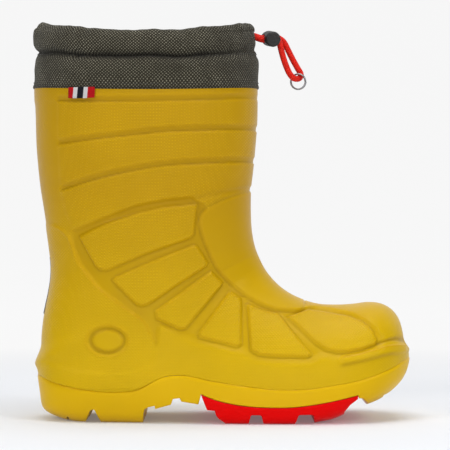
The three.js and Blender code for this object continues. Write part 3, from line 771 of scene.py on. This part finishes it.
facing_profile = [(10.2, 186.5), (10.2, 195.5), (6.3, 204), (5.2, 212), (5.8, 218.2)]
facing_rows = spline(facing_profile, 24)
facing_points = np.array([collar_base(by, z, collar_angles) for by, z in facing_rows])
facing_cloth = mesh_object("facing_skin", facing_points.reshape(-1, 3),
                           grid_triangles(len(facing_rows), COLLAR_COLUMNS))
facing_run = running_length(facing_rows)
cloth_map(facing_cloth, np.tile(np.linspace(0, RIM_LENGTH, COLLAR_COLUMNS, endpoint=False),
                                len(facing_rows)),
          np.repeat(facing_run, COLLAR_COLUMNS), RIM_LENGTH)
thicken(facing_cloth, 0)


def thread(name, places, row, lift, length=2.1, gap=1.0, radius=0.2):
    """A line of stitches round the collar at one of its rows."""
    line = places[row]
    ahead = places[row] - places[row + 1]
    loop = np.vstack([line, line[:1]])
    run = running_length(loop)
    out = line - line.mean(0)
    out[:, 2] = 0
    out /= np.linalg.norm(out, axis=1)[:, None]
    outs = np.vstack([out, out[:1]])
    points, faces = [], []
    for start in np.arange(0, run[-1] - length, length + gap):
        for k in range(7):
            t = k / 6
            at = start + length * t
            middle = np.array([np.interp(at, run, loop[:, c]) for c in range(3)])
            away = np.array([np.interp(at, run, outs[:, c]) for c in range(3)])
            size = radius * (0.35 + 0.65 * math.sin(math.pi * min(max(t, 0.08), 0.92)))
            middle = middle + away * (lift + 0.22 * math.sin(math.pi * t) - 0.1)
            for j in range(6):
                a = 2 * math.pi * j / 6
                around = away * math.cos(a) + np.array([0, 0, 1]) * math.sin(a)
                points.append(middle + around * size)
            if k:
                base = len(points) - 12
                for j in range(6):
                    faces.append([base + j, base + (j + 1) % 6, base + 6 + (j + 1) % 6, base + 6 + j])
    return mesh_object(name, points, faces)


row_of = [int(np.argmin(np.abs(spline(PROFILE, PROFILE_STEPS)[:70, 1] - z))) for z in (201.6, 217.4)]
seam_low = thread("seam_low", collar_grid, row_of[0], 0.42)
seam_high = thread("seam_high", collar_grid, row_of[1], 0.42, 2.0, 0.9)

# ---- Felt lining ----
FLOOR_LINE = [(-130, 24), (-95, 24), (-60, 24.2), (-30, 26.6), (-8, 26.2), (15, 22.8), (42, 22),
              (68, 25.2), (92, 31), (130, 44)]
FLOOR = np.array(curve(FLOOR_LINE, 200))


def make_lining():
    places = np.concatenate([np.linspace(0.07, 1, 30), np.linspace(1.02, 2, 60),
                             np.linspace(2.02, 2.99, 26)])
    columns = 140
    outer = [even_ring(places[0], by, columns, up) for by, up in
             ((5.5, -5), (5.5, -0.6), (6, 0), (7.6, 0), (8.2, -0.5))]
    grid = np.array(outer + [even_ring(at, 8.4, columns) for at in places])
    level = np.interp(grid[..., 0], FLOOR[:, 0], FLOOR[:, 1]) + 5.7
    grid[..., 2] = np.maximum(grid[..., 2], level)
    faces = grid_triangles(len(grid), columns)
    flat, faces = close_toe(grid.reshape(-1, 3), faces, (len(grid) - 1) * columns, columns)
    return mesh_object("lining_skin", flat, facing(faces))


lining = make_lining()


# ---- Tubes: the drawcord, the split ring ----
def tube(name, path, radius, sides=14, braid=0.0, lay=9.0):
    """A closed tube round a line of points, with a braid of small bumps and a map along it."""
    path = np.asarray(path, float)
    run = running_length(path)
    way = np.gradient(path, axis=0)
    way /= np.linalg.norm(way, axis=1)[:, None]
    side = np.cross(way[0], [0, 0, 1.0])
    side /= np.linalg.norm(side)
    points = []
    for k, (p, t) in enumerate(zip(path, way)):
        side = side - t * (side @ t)
        side /= np.linalg.norm(side)
        up = np.cross(t, side)
        for j in range(sides):
            a = 2 * math.pi * j / sides
            bump = math.sin(4 * a + 2 * math.pi * run[k] / lay * 4)
            bump *= math.sin(4 * a - 2 * math.pi * run[k] / lay * 4)
            r = radius * (1 + braid * bump)
            points.append(p + (side * math.cos(a) + up * math.sin(a)) * r)
    faces = []
    for k in range(len(path) - 1):
        for j in range(sides):
            a, b = k * sides + j, k * sides + (j + 1) % sides
            faces.append([a, b, b + sides, a + sides])
    faces += [list(range(sides))[::-1], [len(points) - sides + j for j in range(sides)]]
    made = mesh_object(name, points, faces)
    layer = made.data.uv_layers.new(name="cloth")
    for face in made.data.polygons:
        around = [made.data.loops[i].vertex_index % sides for i in face.loop_indices]
        wrap = max(around) - min(around) > sides / 2
        for i, j in zip(face.loop_indices, around):
            k = made.data.loops[i].vertex_index // sides
            turn = j + sides if wrap and j == 0 else j
            layer.data[i].uv = (turn / sides, run[k])
    return made


def along(points, step):
    """A smooth line through points, with points about this far apart."""
    fine = spline(points, 60 * (len(points) - 1))
    run = running_length(fine)
    want = np.linspace(0, run[-1], int(run[-1] / step) + 1)
    return np.stack([np.interp(want, run, fine[:, k]) for k in range(3)], 1), run[-1]


LOCK = np.array([29.3, 0.2, 227.3])
AXIS_W = np.array([0.18, -0.975, -0.13])
AXIS_W /= np.linalg.norm(AXIS_W)
AXIS_U = np.array([1.0, 0, 0]) - AXIS_W * AXIS_W[0]
AXIS_U /= np.linalg.norm(AXIS_U)
AXIS_V = np.cross(AXIS_W, AXIS_U)


def in_lock(u, v, w):
    return LOCK + AXIS_U * u + AXIS_V * v + AXIS_W * w


def strand(u, side):
    return in_lock(u, -side * 0.4, side * 1.75)


LOOP = [
    (16, 4, 228.4), (17.4, 2.5, 228.7), (19.8, 1.9, 229), strand(-5.5, -1), strand(-2, -1),
    strand(2, -1), strand(5, -1), (37.4, 2.2, 225.4), (40, 2.4, 220.6), (42.6, 2.6, 215.4),
    (45.6, 2.8, 210), (47.6, 2.6, 206.4), (47, 1.3, 203.9), (45.2, -0.3, 203.1),
    (42.9, -1.9, 203.7), (40.6, -2.8, 206.4), (38.6, -2.8, 210.9), (36.9, -2.5, 216),
    (35.6, -2.2, 221), strand(4.6, 1), strand(2, 1), strand(-2, 1), strand(-5.5, 1),
    (19.8, -1.9, 228), (17.4, -2.5, 228.2), (16, -4, 228.4),
]
loop_path, loop_length = along(LOOP, 0.45)
loop = tube("drawcord_loop_skin", loop_path, 1.8, 20, braid=0.05)

run_angles = np.linspace(0.17, 2 * math.pi - 0.17, 260)
run_path = collar_base(5.4, 228.4, run_angles)
cord_run = tube("drawcord_run_skin", run_path, 1.6, 12)

# ---- Split ring: two turns of wire ----
turns = np.linspace(0, 4 * math.pi, 150)
ring_path = np.stack([4.55 * np.cos(turns), (turns / (2 * math.pi) - 1) * 0.7,
                      4.55 * np.sin(turns)], 1)
turn = -math.radians(20)
ring_path = ring_path @ np.array([[math.cos(turn), math.sin(turn), 0],
                                  [-math.sin(turn), math.cos(turn), 0], [0, 0, 1]])
ring = tube("split_ring_skin", ring_path + [46, -0.2, 201.5], 0.5, 12)


# ---- Cord lock ----
def turned(name, profile, segments=72):
    """A turned piece on the lock's axis, from (radius, w) points."""
    points, faces = [], []
    n = len(profile)
    for k in range(segments):
        a = 2 * math.pi * k / segments
        points += [in_lock(r * math.cos(a), r * math.sin(a), w) for r, w in profile]
    for k in range(segments):
        for i in range(n):
            a, b = k * n + i, k * n + (i + 1) % n
            c, d = (k + 1) % segments * n + i, (k + 1) % segments * n + (i + 1) % n
            faces.append([a, c, d, b])
    return mesh_object(name, points, faces)


def lock_hole(name, low, high, half_v):
    """A slot through the lock along its u axis with rounded ends."""
    outline = []
    for centre, start in ((high - half_v, -90), (low + half_v, 90)):
        for k in range(13):
            a = math.radians(start + 15 * k)
            outline.append((centre + half_v * math.cos(a), half_v * math.sin(a)))
    n = len(outline)
    points = [in_lock(u, v, w) for u in (-9, 9) for w, v in outline]
    faces = prism_faces(n)
    made = mesh_object(name, points, faces, smooth=False)
    outward(made)
    return made


def outward(made):
    """Turns every face of a closed mesh outwards."""
    bm = bmesh.new()
    bm.from_mesh(made.data)
    bmesh.ops.recalc_face_normals(bm, faces=bm.faces)
    bm.to_mesh(made.data)
    bm.free()


def soften(made, width=0.00025, angle=40):
    """Rounds the sharp edges and keeps the rest smooth."""
    bevel = made.modifiers.new("edges", "BEVEL")
    bevel.width, bevel.segments, bevel.limit_method = width, 2, "ANGLE"
    bevel.angle_limit = math.radians(angle)
    made.data.shade_smooth()
    made.modifiers.new("normals", "WEIGHTED_NORMAL").keep_sharp = True


barrel = turned("lock_barrel_skin", [
    (0.001, 8.2), (3.6, 8.2), (3.6, -4.9), (3.8, -5), (4.3, -5), (4.55, -4.75), (4.6, -4.4),
    (4.6, 7.9), (4.5, 8.6), (4.1, 9.15), (3.4, 9.38), (3.0, 9.4), (2.8, 9.28), (2.4, 9.24),
    (0.001, 9.24),
])
outward(barrel)
boolean(barrel, lock_hole("hole", -3.9, 3.9, 2.7), "DIFFERENCE")
plunger = turned("lock_plunger_skin", [
    (0.001, -9), (3.3, -9), (3.8, -8.85), (4.1, -8.4), (4.1, -7.4), (3.95, -7.2), (3.3, -7.15),
    (3.3, 5.9), (3.15, 6), (2.85, 6), (2.8, 4.75), (0.001, 4.7),
])
outward(plunger)
boolean(plunger, lock_hole("hole", -5.9, 3.9, 2.7), "DIFFERENCE")
for piece in (barrel, plunger):
    soften(piece)


# ---- Patches that lie on the boot's skin: the ribbon tag and the reflective strip ----
def on_skin(x, z, side, lift):
    """The points of the near or far side of the boot at these x and z, moved out."""
    part = skin[:, COLUMNS // 2:] if side < 0 else skin[:, :COLUMNS // 2]
    normals = skin_normals[:, COLUMNS // 2:] if side < 0 else skin_normals[:, :COLUMNS // 2]
    flat, out = part.reshape(-1, 3), normals.reshape(-1, 3)
    order = np.argsort((flat[:, 0] - x) ** 2 + (flat[:, 2] - z) ** 2)[:4]
    near = flat[order]
    weight = 1 / (np.hypot(near[:, 0] - x, near[:, 2] - z) + 0.05)
    weight /= weight.sum()
    n = (out[order] * weight[:, None]).sum(0)
    y = (near[:, 1] * weight).sum()
    return np.array([x, y, z]) + n / np.linalg.norm(n) * lift


def flat_map(made, u, v):
    """A UV map from a u and a v for each point."""
    layer = made.data.uv_layers.new(name="cloth")
    for i, corner in enumerate(made.data.loops):
        layer.data[i].uv = (u[corner.vertex_index], v[corner.vertex_index])


def make_tag():
    """A ribbon folded at its foot and sewn in under the collar."""
    wide, tall = 24, 15
    points, u, v = [], [], []
    for back in (0, 1):
        for i in range(tall + 1):
            for j in range(wide + 1):
                s, t = j / wide, i / tall
                x = -88.4 + 15.4 * s
                z = 195.4 - 6.2 * t - 0.25 * math.sin(s * 3) * t
                fold = math.sin(t * math.pi / 2) ** 6
                lift = (1.0 if back == 0 else 0.35) + 0.5 * t * (0.5 + 0.5 * math.sin(2.2 * s + 0.6))
                lift += (0.18 if back else -0.12) * fold
                points.append(on_skin(x, z, -1, lift))
                u.append(s)
                v.append(t)
    n, size = wide + 1, (wide + 1) * (tall + 1)
    faces = []
    for i in range(tall):
        for j in range(wide):
            a = i * n + j
            faces.append([a, a + n, a + n + 1, a + 1])
            faces.append([size + a, size + a + 1, size + a + n + 1, size + a + n])
    for j in range(wide):
        faces.append([j, j + 1, size + j + 1, size + j])
        k = tall * n + j
        faces.append([k, size + k, size + k + 1, k + 1])
    for i in range(tall):
        a, b = i * n, i * n + wide
        faces.append([a, size + a, size + a + n, a + n])
        faces.append([b, b + n, size + b + n, size + b])
    made = mesh_object("tag_skin", points, faces)
    flat_map(made, u, v)
    outward(made)
    return made


tag = make_tag()


def make_strip():
    """The strip let into the back of the heel: a thin plate that follows the form."""
    high, wide = 60, 28
    foot, head, half = 62.3, 96.7, 7.8
    stand_out, rounding = 0.55, 0.7
    heel = BACK[BACK[:, 1] > 40]
    points, u, v = [], [], []
    for z in np.linspace(foot, head, high + 1):
        x = float(np.interp(-z, -heel[:, 1], heel[:, 0]))
        for y in np.linspace(-half, half, wide + 1):
            order = np.argsort((skin[..., 1] - y) ** 2 + (skin[..., 2] - z) ** 2
                               + 0.02 * (skin[..., 0] - x) ** 2, axis=None)[:4]
            near = skin.reshape(-1, 3)[order]
            weight = 1 / (np.hypot(near[:, 1] - y, near[:, 2] - z) + 0.05)
            weight /= weight.sum()
            edge = min(half - abs(y), z - foot, head - z)
            round_off = 0.5 * (1 - min(edge / rounding, 1)) ** 2
            points.append([(near[:, 0] * weight).sum() - stand_out + round_off, y, z])
            u.append(y)
            v.append(z)
    faces = []
    n = wide + 1
    for i in range(high):
        for j in range(wide):
            a = i * n + j
            faces.append([a, a + n, a + n + 1, a + 1])
    made = mesh_object("strip_skin", points, faces)
    flat_map(made, u, v)
    thicken(made, -1)
    return made


strip = make_strip()


# ---- Materials ----
class Nodes:
    """A material and the means to add nodes to it."""

    def __init__(self, name, colour, roughness, metallic=0.0, sheen=0.0, shine=0.5):
        self.material = bpy.data.materials.new(name)
        self.material.use_nodes = True
        self.tree = self.material.node_tree
        self.shader = self.tree.nodes["Principled BSDF"]
        self.shader.inputs["Base Color"].default_value = (*colour, 1)
        self.shader.inputs["Roughness"].default_value = roughness
        self.shader.inputs["Metallic"].default_value = metallic
        self.shader.inputs["Sheen Weight"].default_value = sheen
        self.shader.inputs["Sheen Roughness"].default_value = 0.5
        self.shader.inputs["Specular IOR Level"].default_value = shine

    def add(self, kind, inputs=None, **settings):
        node = self.tree.nodes.new(kind)
        for key, value in settings.items():
            setattr(node, key, value)
        for key, value in (inputs or {}).items():
            if isinstance(value, bpy.types.NodeSocket):
                self.tree.links.new(value, node.inputs[key])
            else:
                node.inputs[key].default_value = value
        return node

    def math(self, operation, a, b=0.0):
        return self.add("ShaderNodeMath", {0: a, 1: b}, operation=operation).outputs[0]

    def noise(self, scale, detail=3.0, rough=0.5, vector=None):
        if vector is None:
            vector = self.place()
        node = self.add("ShaderNodeTexNoise",
                        {"Scale": scale, "Detail": detail, "Roughness": rough, "Vector": vector})
        return node.outputs["Fac"]

    def place(self):
        return self.add("ShaderNodeTexCoord").outputs["Object"]

    def stretch(self, value, low, high, to_low=0.0, to_high=1.0):
        node = self.add("ShaderNodeMapRange", {"Value": value, "From Min": low, "From Max": high,
                                               "To Min": to_low, "To Max": to_high})
        return node.outputs["Result"]

    def mix(self, factor, a, b):
        node = self.add("ShaderNodeMix", data_type="RGBA")
        for socket, value in ((node.inputs["Factor"], factor), (node.inputs[6], a),
                              (node.inputs[7], b)):
            if isinstance(value, bpy.types.NodeSocket):
                self.tree.links.new(value, socket)
            elif isinstance(value, (int, float)):
                socket.default_value = value
            else:
                socket.default_value = (*value, 1)
        return node.outputs[2]

    def bump(self, height, distance, strength=1.0, under=None):
        node = self.add("ShaderNodeBump", {"Strength": strength, "Distance": distance,
                                           "Height": height})
        if under is not None:
            self.tree.links.new(under, node.inputs["Normal"])
        return node.outputs["Normal"]

    def value(self, name):
        return self.add("ShaderNodeAttribute", attribute_name=name).outputs["Fac"]

    def into(self, key, socket):
        self.tree.links.new(socket, self.shader.inputs[key])


def grid_weave(n, pitch):
    """A fine plain weave in the side elevation and one round the boot."""
    split = n.add("ShaderNodeSeparateXYZ", {0: n.place()})
    turn = 2 * math.pi / pitch
    waves = [n.math("SINE", n.math("MULTIPLY", split.outputs[k], turn)) for k in range(3)]
    side = n.math("MULTIPLY", waves[0], waves[2])
    front = n.math("MULTIPLY", waves[1], waves[2])
    return n.math("ADD", side, n.math("MULTIPLY", front, 0.6))


def times(colour, share):
    return tuple(c * share for c in colour)


def rubber(n, colour):
    """Satin rubber or foam: a soft mottle, small scuffs and an uneven gloss."""
    mottle = n.stretch(n.noise(22, 3), 0.3, 0.7)
    shade = n.mix(mottle, times(colour, 0.97), times(colour, 1.03))
    scuff = n.stretch(n.noise(190, 5, 0.65), 0.62, 0.8)
    n.into("Roughness", n.stretch(n.noise(60, 3), 0.3, 0.7, 0.3, 0.38))
    n.shader.inputs["Specular IOR Level"].default_value = 0.12
    return n.mix(n.math("MULTIPLY", scuff, 0.12), shade, times(colour, 0.8))


def foam(name, colour, low_colour):
    """The upper's moulded foam: canvas grain on its panels, plain in its channels."""
    n = Nodes(name, colour, 0.5)
    height = n.add("ShaderNodeSeparateXYZ", {0: n.place()}).outputs[2]
    # Lighter and yellower towards the bottom: partly painted light from below, partly a yellower colour
    # lower down.
    shade = n.mix(n.stretch(height, 0.03, 0.135), rubber(n, low_colour), rubber(n, colour))
    # Painted shade darkens and painted highlights lighten the foam where the upper's values say so.
    painted_light = n.value("painted_light")
    shade = n.mix(n.stretch(painted_light, 0, -1.6), shade, times(colour, 0.68))
    shade = n.mix(n.stretch(painted_light, 0, 1.3), shade, times(colour, 1.16))
    weave = grid_weave(n, 0.0018)
    amount = n.value("weave")
    woven = n.math("MULTIPLY", weave, amount)
    patch = n.stretch(n.noise(45, 3), 0.3, 0.7, 0.3, 1.0)
    speck = n.math("MULTIPLY", n.stretch(woven, 0.1, 1.0), patch)
    shade = n.mix(n.math("MULTIPLY", speck, 0.4), shade, times(low_colour, 1.22))
    n.into("Base Color", shade)
    grain = n.noise(2600, 2, 0.6)
    height = n.math("ADD", n.math("MULTIPLY", woven, 0.5), n.math("MULTIPLY", grain, 0.5))
    n.into("Normal", n.bump(height, 0.00018, 0.8))
    return n.material


def moulded(name, colour, shine):
    """Moulded rubber with rounded edges and a fine grain."""
    n = Nodes(name, colour, 0.5)
    n.into("Base Color", rubber(n, colour))
    n.shader.inputs["Specular IOR Level"].default_value = shine
    edge = n.add("ShaderNodeBevel", {"Radius": 0.0006}, samples=6).outputs["Normal"]
    n.into("Normal", n.bump(n.noise(2600, 2, 0.6), 0.00012, 0.5, edge))
    return n.material


def ballistic(name, dark, light, pitch=2.0):
    """A coarse two-by-two weave of shiny yarns, on a map in millimetres."""
    n = Nodes(name, dark, 0.7, sheen=0.05, shine=0.2)
    uv = n.add("ShaderNodeUVMap", uv_map="cloth").outputs["UV"]
    wobble = n.add("ShaderNodeTexNoise", {"Scale": 0.35, "Detail": 1.0, "Vector": uv})
    moved = n.add("ShaderNodeVectorMath", {0: uv, 1: wobble.outputs["Color"]}, operation="ADD")
    split = n.add("ShaderNodeSeparateXYZ", {0: moved.outputs[0]})
    u, v = split.outputs[0], split.outputs[1]
    turn = 2 * math.pi / pitch
    su = n.math("SINE", n.math("MULTIPLY", u, turn))
    sv = n.math("SINE", n.math("MULTIPLY", v, turn))
    knot = n.math("MULTIPLY", su, sv)
    fine = n.math("SINE", n.math("MULTIPLY", n.math("ADD", u, v), turn * 3))
    height = n.math("ADD", knot, n.math("MULTIPLY", fine, 0.15))
    patch = n.stretch(n.noise(90, 3), 0.3, 0.7, 0.45, 1.0)
    lit = n.math("MULTIPLY", n.stretch(knot, 0.25, 0.75), patch)
    cloth = n.mix(lit, dark, light)
    # Painted shade darkens the cloth where it has shade values.
    n.into("Base Color", n.mix(n.math("MULTIPLY", n.value("shade"), 0.75), cloth, times(dark, 0.35)))
    n.into("Roughness", n.stretch(knot, -1, 1, 0.85, 0.55))
    n.into("Normal", n.bump(height, 0.00035, 0.9))
    return n.material


def felted(name, colour, light):
    n = Nodes(name, colour, 0.95, sheen=0.4)
    fibres = n.noise(900, 6, 0.75)
    n.into("Base Color", n.mix(n.stretch(fibres, 0.35, 0.7), colour, light))
    n.into("Normal", n.bump(fibres, 0.0006, 0.8))
    return n.material


def braided(name, colour, light, dark):
    """An elastic cord's sleeve: two sets of slanting yarns."""
    n = Nodes(name, colour, 0.6, shine=0.2)
    uv = n.add("ShaderNodeUVMap", uv_map="cloth").outputs["UV"]
    split = n.add("ShaderNodeSeparateXYZ", {0: uv})
    turn = n.math("MULTIPLY", split.outputs[0], 2 * math.pi * 8)
    step = n.math("MULTIPLY", split.outputs[1], 2 * math.pi / 1.15)
    one = n.math("SINE", n.math("ADD", turn, step))
    two = n.math("SINE", n.math("SUBTRACT", turn, step))
    height = n.math("MULTIPLY", one, two)
    shade = n.mix(n.stretch(height, -0.8, 0.1, 1, 0), colour, dark)
    n.into("Base Color", n.mix(n.stretch(height, 0.4, 1), shade, light))
    n.into("Normal", n.bump(height, 0.00018, 0.8))
    return n.material


def ribbon_cloth():
    """Woven stripes across the tag."""
    n = Nodes("ribbon_cloth", (0.6, 0.6, 0.58), 0.65, sheen=0.03, shine=0.12)
    uv = n.add("ShaderNodeUVMap", uv_map="cloth").outputs["UV"]
    split = n.add("ShaderNodeSeparateXYZ", {0: uv})
    slant = n.math("ADD", split.outputs[0], n.math("MULTIPLY", split.outputs[1], 0.03))
    ramp_node = n.add("ShaderNodeValToRGB", {"Fac": slant})
    ramp_node.color_ramp.interpolation = "CONSTANT"
    red, white, navy = (0.56, 0.001, 0.006, 1), (0.78, 0.77, 0.77, 1), (0.004, 0.005, 0.012, 1)
    stops = ramp_node.color_ramp.elements
    stops[0].position, stops[0].color = 0.0, red
    stops[1].position, stops[1].color = 0.2, white
    for place, colour in ((0.36, navy), (0.59, white), (0.75, red)):
        stops.new(place).color = colour
    rib = n.math("SINE", n.math("MULTIPLY", split.outputs[1], 2 * math.pi * 16))
    warp = n.math("SINE", n.math("MULTIPLY", split.outputs[0], 2 * math.pi * 34))
    height = n.math("MULTIPLY", rib, warp)
    n.into("Base Color", n.mix(n.stretch(height, -1, 1, 0.25, 0), ramp_node.outputs[0],
                               (0.02, 0.02, 0.02)))
    n.into("Normal", n.bump(height, 0.00012, 0.8))
    return n.material


def reflective_film():
    """Grey film with a fine honeycomb of beads."""
    n = Nodes("reflective_film", (0.1, 0.105, 0.11), 0.3, 0.35)
    cells = n.add("ShaderNodeTexVoronoi", {"Scale": 900.0, "Vector": n.place()},
                  feature="DISTANCE_TO_EDGE").outputs["Distance"]
    n.into("Base Color", n.mix(n.stretch(cells, 0.02, 0.12), (0.05, 0.05, 0.055),
                               (0.2, 0.2, 0.21)))
    n.into("Normal", n.bump(cells, 0.0002, 0.5))
    return n.material


def hard_plastic():
    n = Nodes("lock_plastic", (0.018, 0.018, 0.017), 0.5, shine=0.35)
    grain = n.noise(3200, 3, 0.6)
    n.into("Normal", n.bump(grain, 0.00008, 0.7))
    n.into("Roughness", n.stretch(n.noise(500, 3), 0.3, 0.7, 0.45, 0.62))
    n.into("Base Color", n.mix(n.stretch(n.noise(240, 4), 0.55, 0.75), (0.018, 0.018, 0.017),
                               (0.035, 0.034, 0.032)))
    return n.material


def dark_steel(name, colour):
    n = Nodes(name, colour, 0.35, 1.0)
    n.into("Roughness", n.stretch(n.noise(700, 4), 0.3, 0.7, 0.25, 0.5))
    n.into("Normal", n.bump(n.noise(1800, 3), 0.00004, 0.5))
    return n.material


def thread_material():
    n = Nodes("thread", (0.055, 0.05, 0.038), 0.7, sheen=0.2)
    n.into("Normal", n.bump(n.noise(3000, 2), 0.0001, 0.6))
    return n.material


def fibre_board():
    n = Nodes("fibre_board", (0.45, 0.4, 0.32), 0.9)
    fibres = n.noise(700, 5, 0.7)
    n.into("Base Color", n.mix(fibres, (0.36, 0.31, 0.24), (0.55, 0.5, 0.42)))
    n.into("Normal", n.bump(fibres, 0.0002, 0.6))
    return n.material


def dress(made, material):
    made.data.materials.clear()
    made.data.materials.append(material)


OCHRE = foam("upper_foam", (0.495, 0.28, 0.0011), (0.635, 0.405, 0.0013))
YELLOW = moulded("outsole_rubber", (0.72, 0.44, 0.0009), 0.11)
RED = moulded("tread_rubber", (0.77, 0.0006, 0.0006), 0.06)
dress(upper, OCHRE)
dress(outsole, YELLOW)
dress(tread, RED)
dress(collar, ballistic("collar_cloth", (0.026, 0.022, 0.0125), (0.3, 0.28, 0.2)))
dress(facing_cloth, ballistic("facing_cloth", (0.03, 0.028, 0.022), (0.07, 0.066, 0.052), 0.6))
FELT = felted("felt", (0.13, 0.125, 0.115), (0.27, 0.26, 0.245))
dress(lining, FELT)
dress(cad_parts["footbed"], FELT)
dress(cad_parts["insole_board"], fibre_board())
CORD = braided("elastic", (0.86, 0.014, 0.004), (0.95, 0.05, 0.015), (0.5, 0.004, 0.002))
dress(loop, CORD)
dress(cord_run, CORD)
dress(ring, dark_steel("ring_steel", (0.3, 0.3, 0.31)))
dress(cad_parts["lock_spring"], dark_steel("spring_steel", (0.5, 0.5, 0.5)))
PLASTIC = hard_plastic()
dress(barrel, PLASTIC)
dress(plunger, PLASTIC)
dress(tag, ribbon_cloth())
dress(strip, reflective_film())
THREAD = thread_material()
dress(seam_low, THREAD)
dress(seam_high, THREAD)

# ---- What each piece stands for and moves with ----
for made, nodes, body, name in (
    (upper, ["upper_shell"], "boot", "upper_foam"),
    (outsole, ["outsole"], "boot", "outsole_rubber"),
    (tread, ["forefoot_tread"], "boot", "tread_rubber"),
    (collar, ["snow_collar"], "boot", "collar_cloth"),
    (facing_cloth, ["collar_facing"], "boot", "facing_cloth"),
    (lining, ["felt_lining"], "boot", "felt"),
    (loop, ["drawcord_loop"], "boot", "elastic"),
    (cord_run, ["drawcord_run"], "boot", "elastic"),
    (tag, ["ribbon_tag"], "boot", "ribbon"),
    (strip, ["reflective_strip"], "boot", "reflective_film"),
    (seam_low, [], "boot", "collar_cloth"),
    (seam_high, [], "boot", "collar_cloth"),
    (barrel, ["lock_barrel"], "lock", "lock_plastic"),
    (plunger, ["lock_plunger"], "button", "lock_plastic"),
    (ring, ["split_ring"], "ring", "ring_steel"),
):
    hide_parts(*nodes)
    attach(made, body)

# ---- Stage ----
FLOOR_NEAR = (0.705, 0.722, 0.754)
FLOOR_GLOW = (0.125, 0.128, 0.134)
BACKDROP = 0.922  # how pale the backdrop and the far floor are
WORLD_LIGHT = 0.12
# Metres: the floor's near edge, where it starts to rise, the bend's radius, its top and half width.
FLOOR_FRONT, FLOOR_BACK, BEND, WALL_TOP, FLOOR_HALF = -9.0, 1.5, 3.0, 12.0, 12
# The pale floor near the boot fades to the backdrop between these distances.
FADE_FROM, FADE_TO = 0.24, 0.7


def make_stage():
    """A pale floor that rises behind the boot."""
    points = []
    profile = [(FLOOR_FRONT, 0), (FLOOR_BACK, 0)]
    for k in range(1, 13):
        a = math.radians(7.5 * k)
        profile.append((FLOOR_BACK + BEND * math.sin(a), BEND * (1 - math.cos(a))))
    profile.append((FLOOR_BACK + BEND, WALL_TOP))
    for x in (-FLOOR_HALF, FLOOR_HALF):
        points += [(x, y, z) for y, z in profile]
    n = len(profile)
    faces = [[i, n + i, n + i + 1, i + 1] for i in range(n - 1)]
    made = mesh_object("floor", np.array(points) * 1000, faces)
    n = Nodes("floor", (0.6, 0.6, 0.6), 0.9, shine=0.05)
    split = n.add("ShaderNodeSeparateXYZ", {0: n.place()})
    flat = n.add("ShaderNodeCombineXYZ", {0: split.outputs[0], 1: split.outputs[1]})
    far = n.stretch(n.add("ShaderNodeVectorMath", {0: flat.outputs[0]}, operation="LENGTH")
                    .outputs["Value"], FADE_FROM, FADE_TO)
    n.into("Base Color", n.mix(far, FLOOR_NEAR, (0, 0, 0)))
    n.into("Emission Color", n.mix(far, FLOOR_GLOW, (BACKDROP,) * 3))
    n.shader.inputs["Emission Strength"].default_value = 1.0
    n.into("Normal", n.bump(n.noise(300, 2), 0.0001, 0.1))
    dress(made, n.material)
    made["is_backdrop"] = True


make_stage()


def area(name, place, target, size, power):
    light = bpy.data.lights.new(name, "AREA")
    light.energy, light.size, light.shape = power, size, "SQUARE"
    made = bpy.data.objects.new(name, light)
    made.location = place
    made.rotation_euler = (Vector(target) - Vector(place)).to_track_quat("-Z", "Y").to_euler()
    bpy.context.scene.collection.objects.link(made)


area("top", (0.05, -0.2, 1.5), (0, 0, 0.1), 1.0, 14)
area("left", (-1.3, -1.4, 1.2), (0, 0, 0.12), 0.9, 12)
area("right", (1.3, -1.4, 1.2), (0, 0, 0.12), 0.9, 12)
area("low", (0.1, -2.2, 0.35), (0, 0, 0.05), 0.9, 7)
world = bpy.data.worlds.new("world")
world.use_nodes = True
world.node_tree.nodes["Background"].inputs["Color"].default_value = (1, 1, 1, 1)
# The camera sees the world as pale as the floor, and it lights the boot only a little.
path = world.node_tree.nodes.new("ShaderNodeLightPath")
level = world.node_tree.nodes.new("ShaderNodeMath")
level.operation = "MULTIPLY_ADD"
level.inputs[1].default_value = BACKDROP - WORLD_LIGHT
level.inputs[2].default_value = WORLD_LIGHT
world.node_tree.links.new(path.outputs["Is Camera Ray"], level.inputs[0])
world.node_tree.links.new(level.outputs[0],
                          world.node_tree.nodes["Background"].inputs["Strength"])
bpy.context.scene.world = world
bpy.context.scene.view_settings.view_transform = "Standard"

SENSOR = 36
SEEN_WIDTH = 0.270
CAMERA_AWAY = 1.2
camera = bpy.data.cameras.new("camera")
camera.sensor_width = SENSOR
camera.lens = SENSOR / SEEN_WIDTH * CAMERA_AWAY
seen = bpy.data.objects.new("camera", camera)
seen.location = (0.0021, -CAMERA_AWAY, 0.1155)
seen.rotation_euler = (math.pi / 2, 0, 0)
bpy.context.scene.collection.objects.link(seen)
bpy.context.scene.camera = seen

low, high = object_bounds()
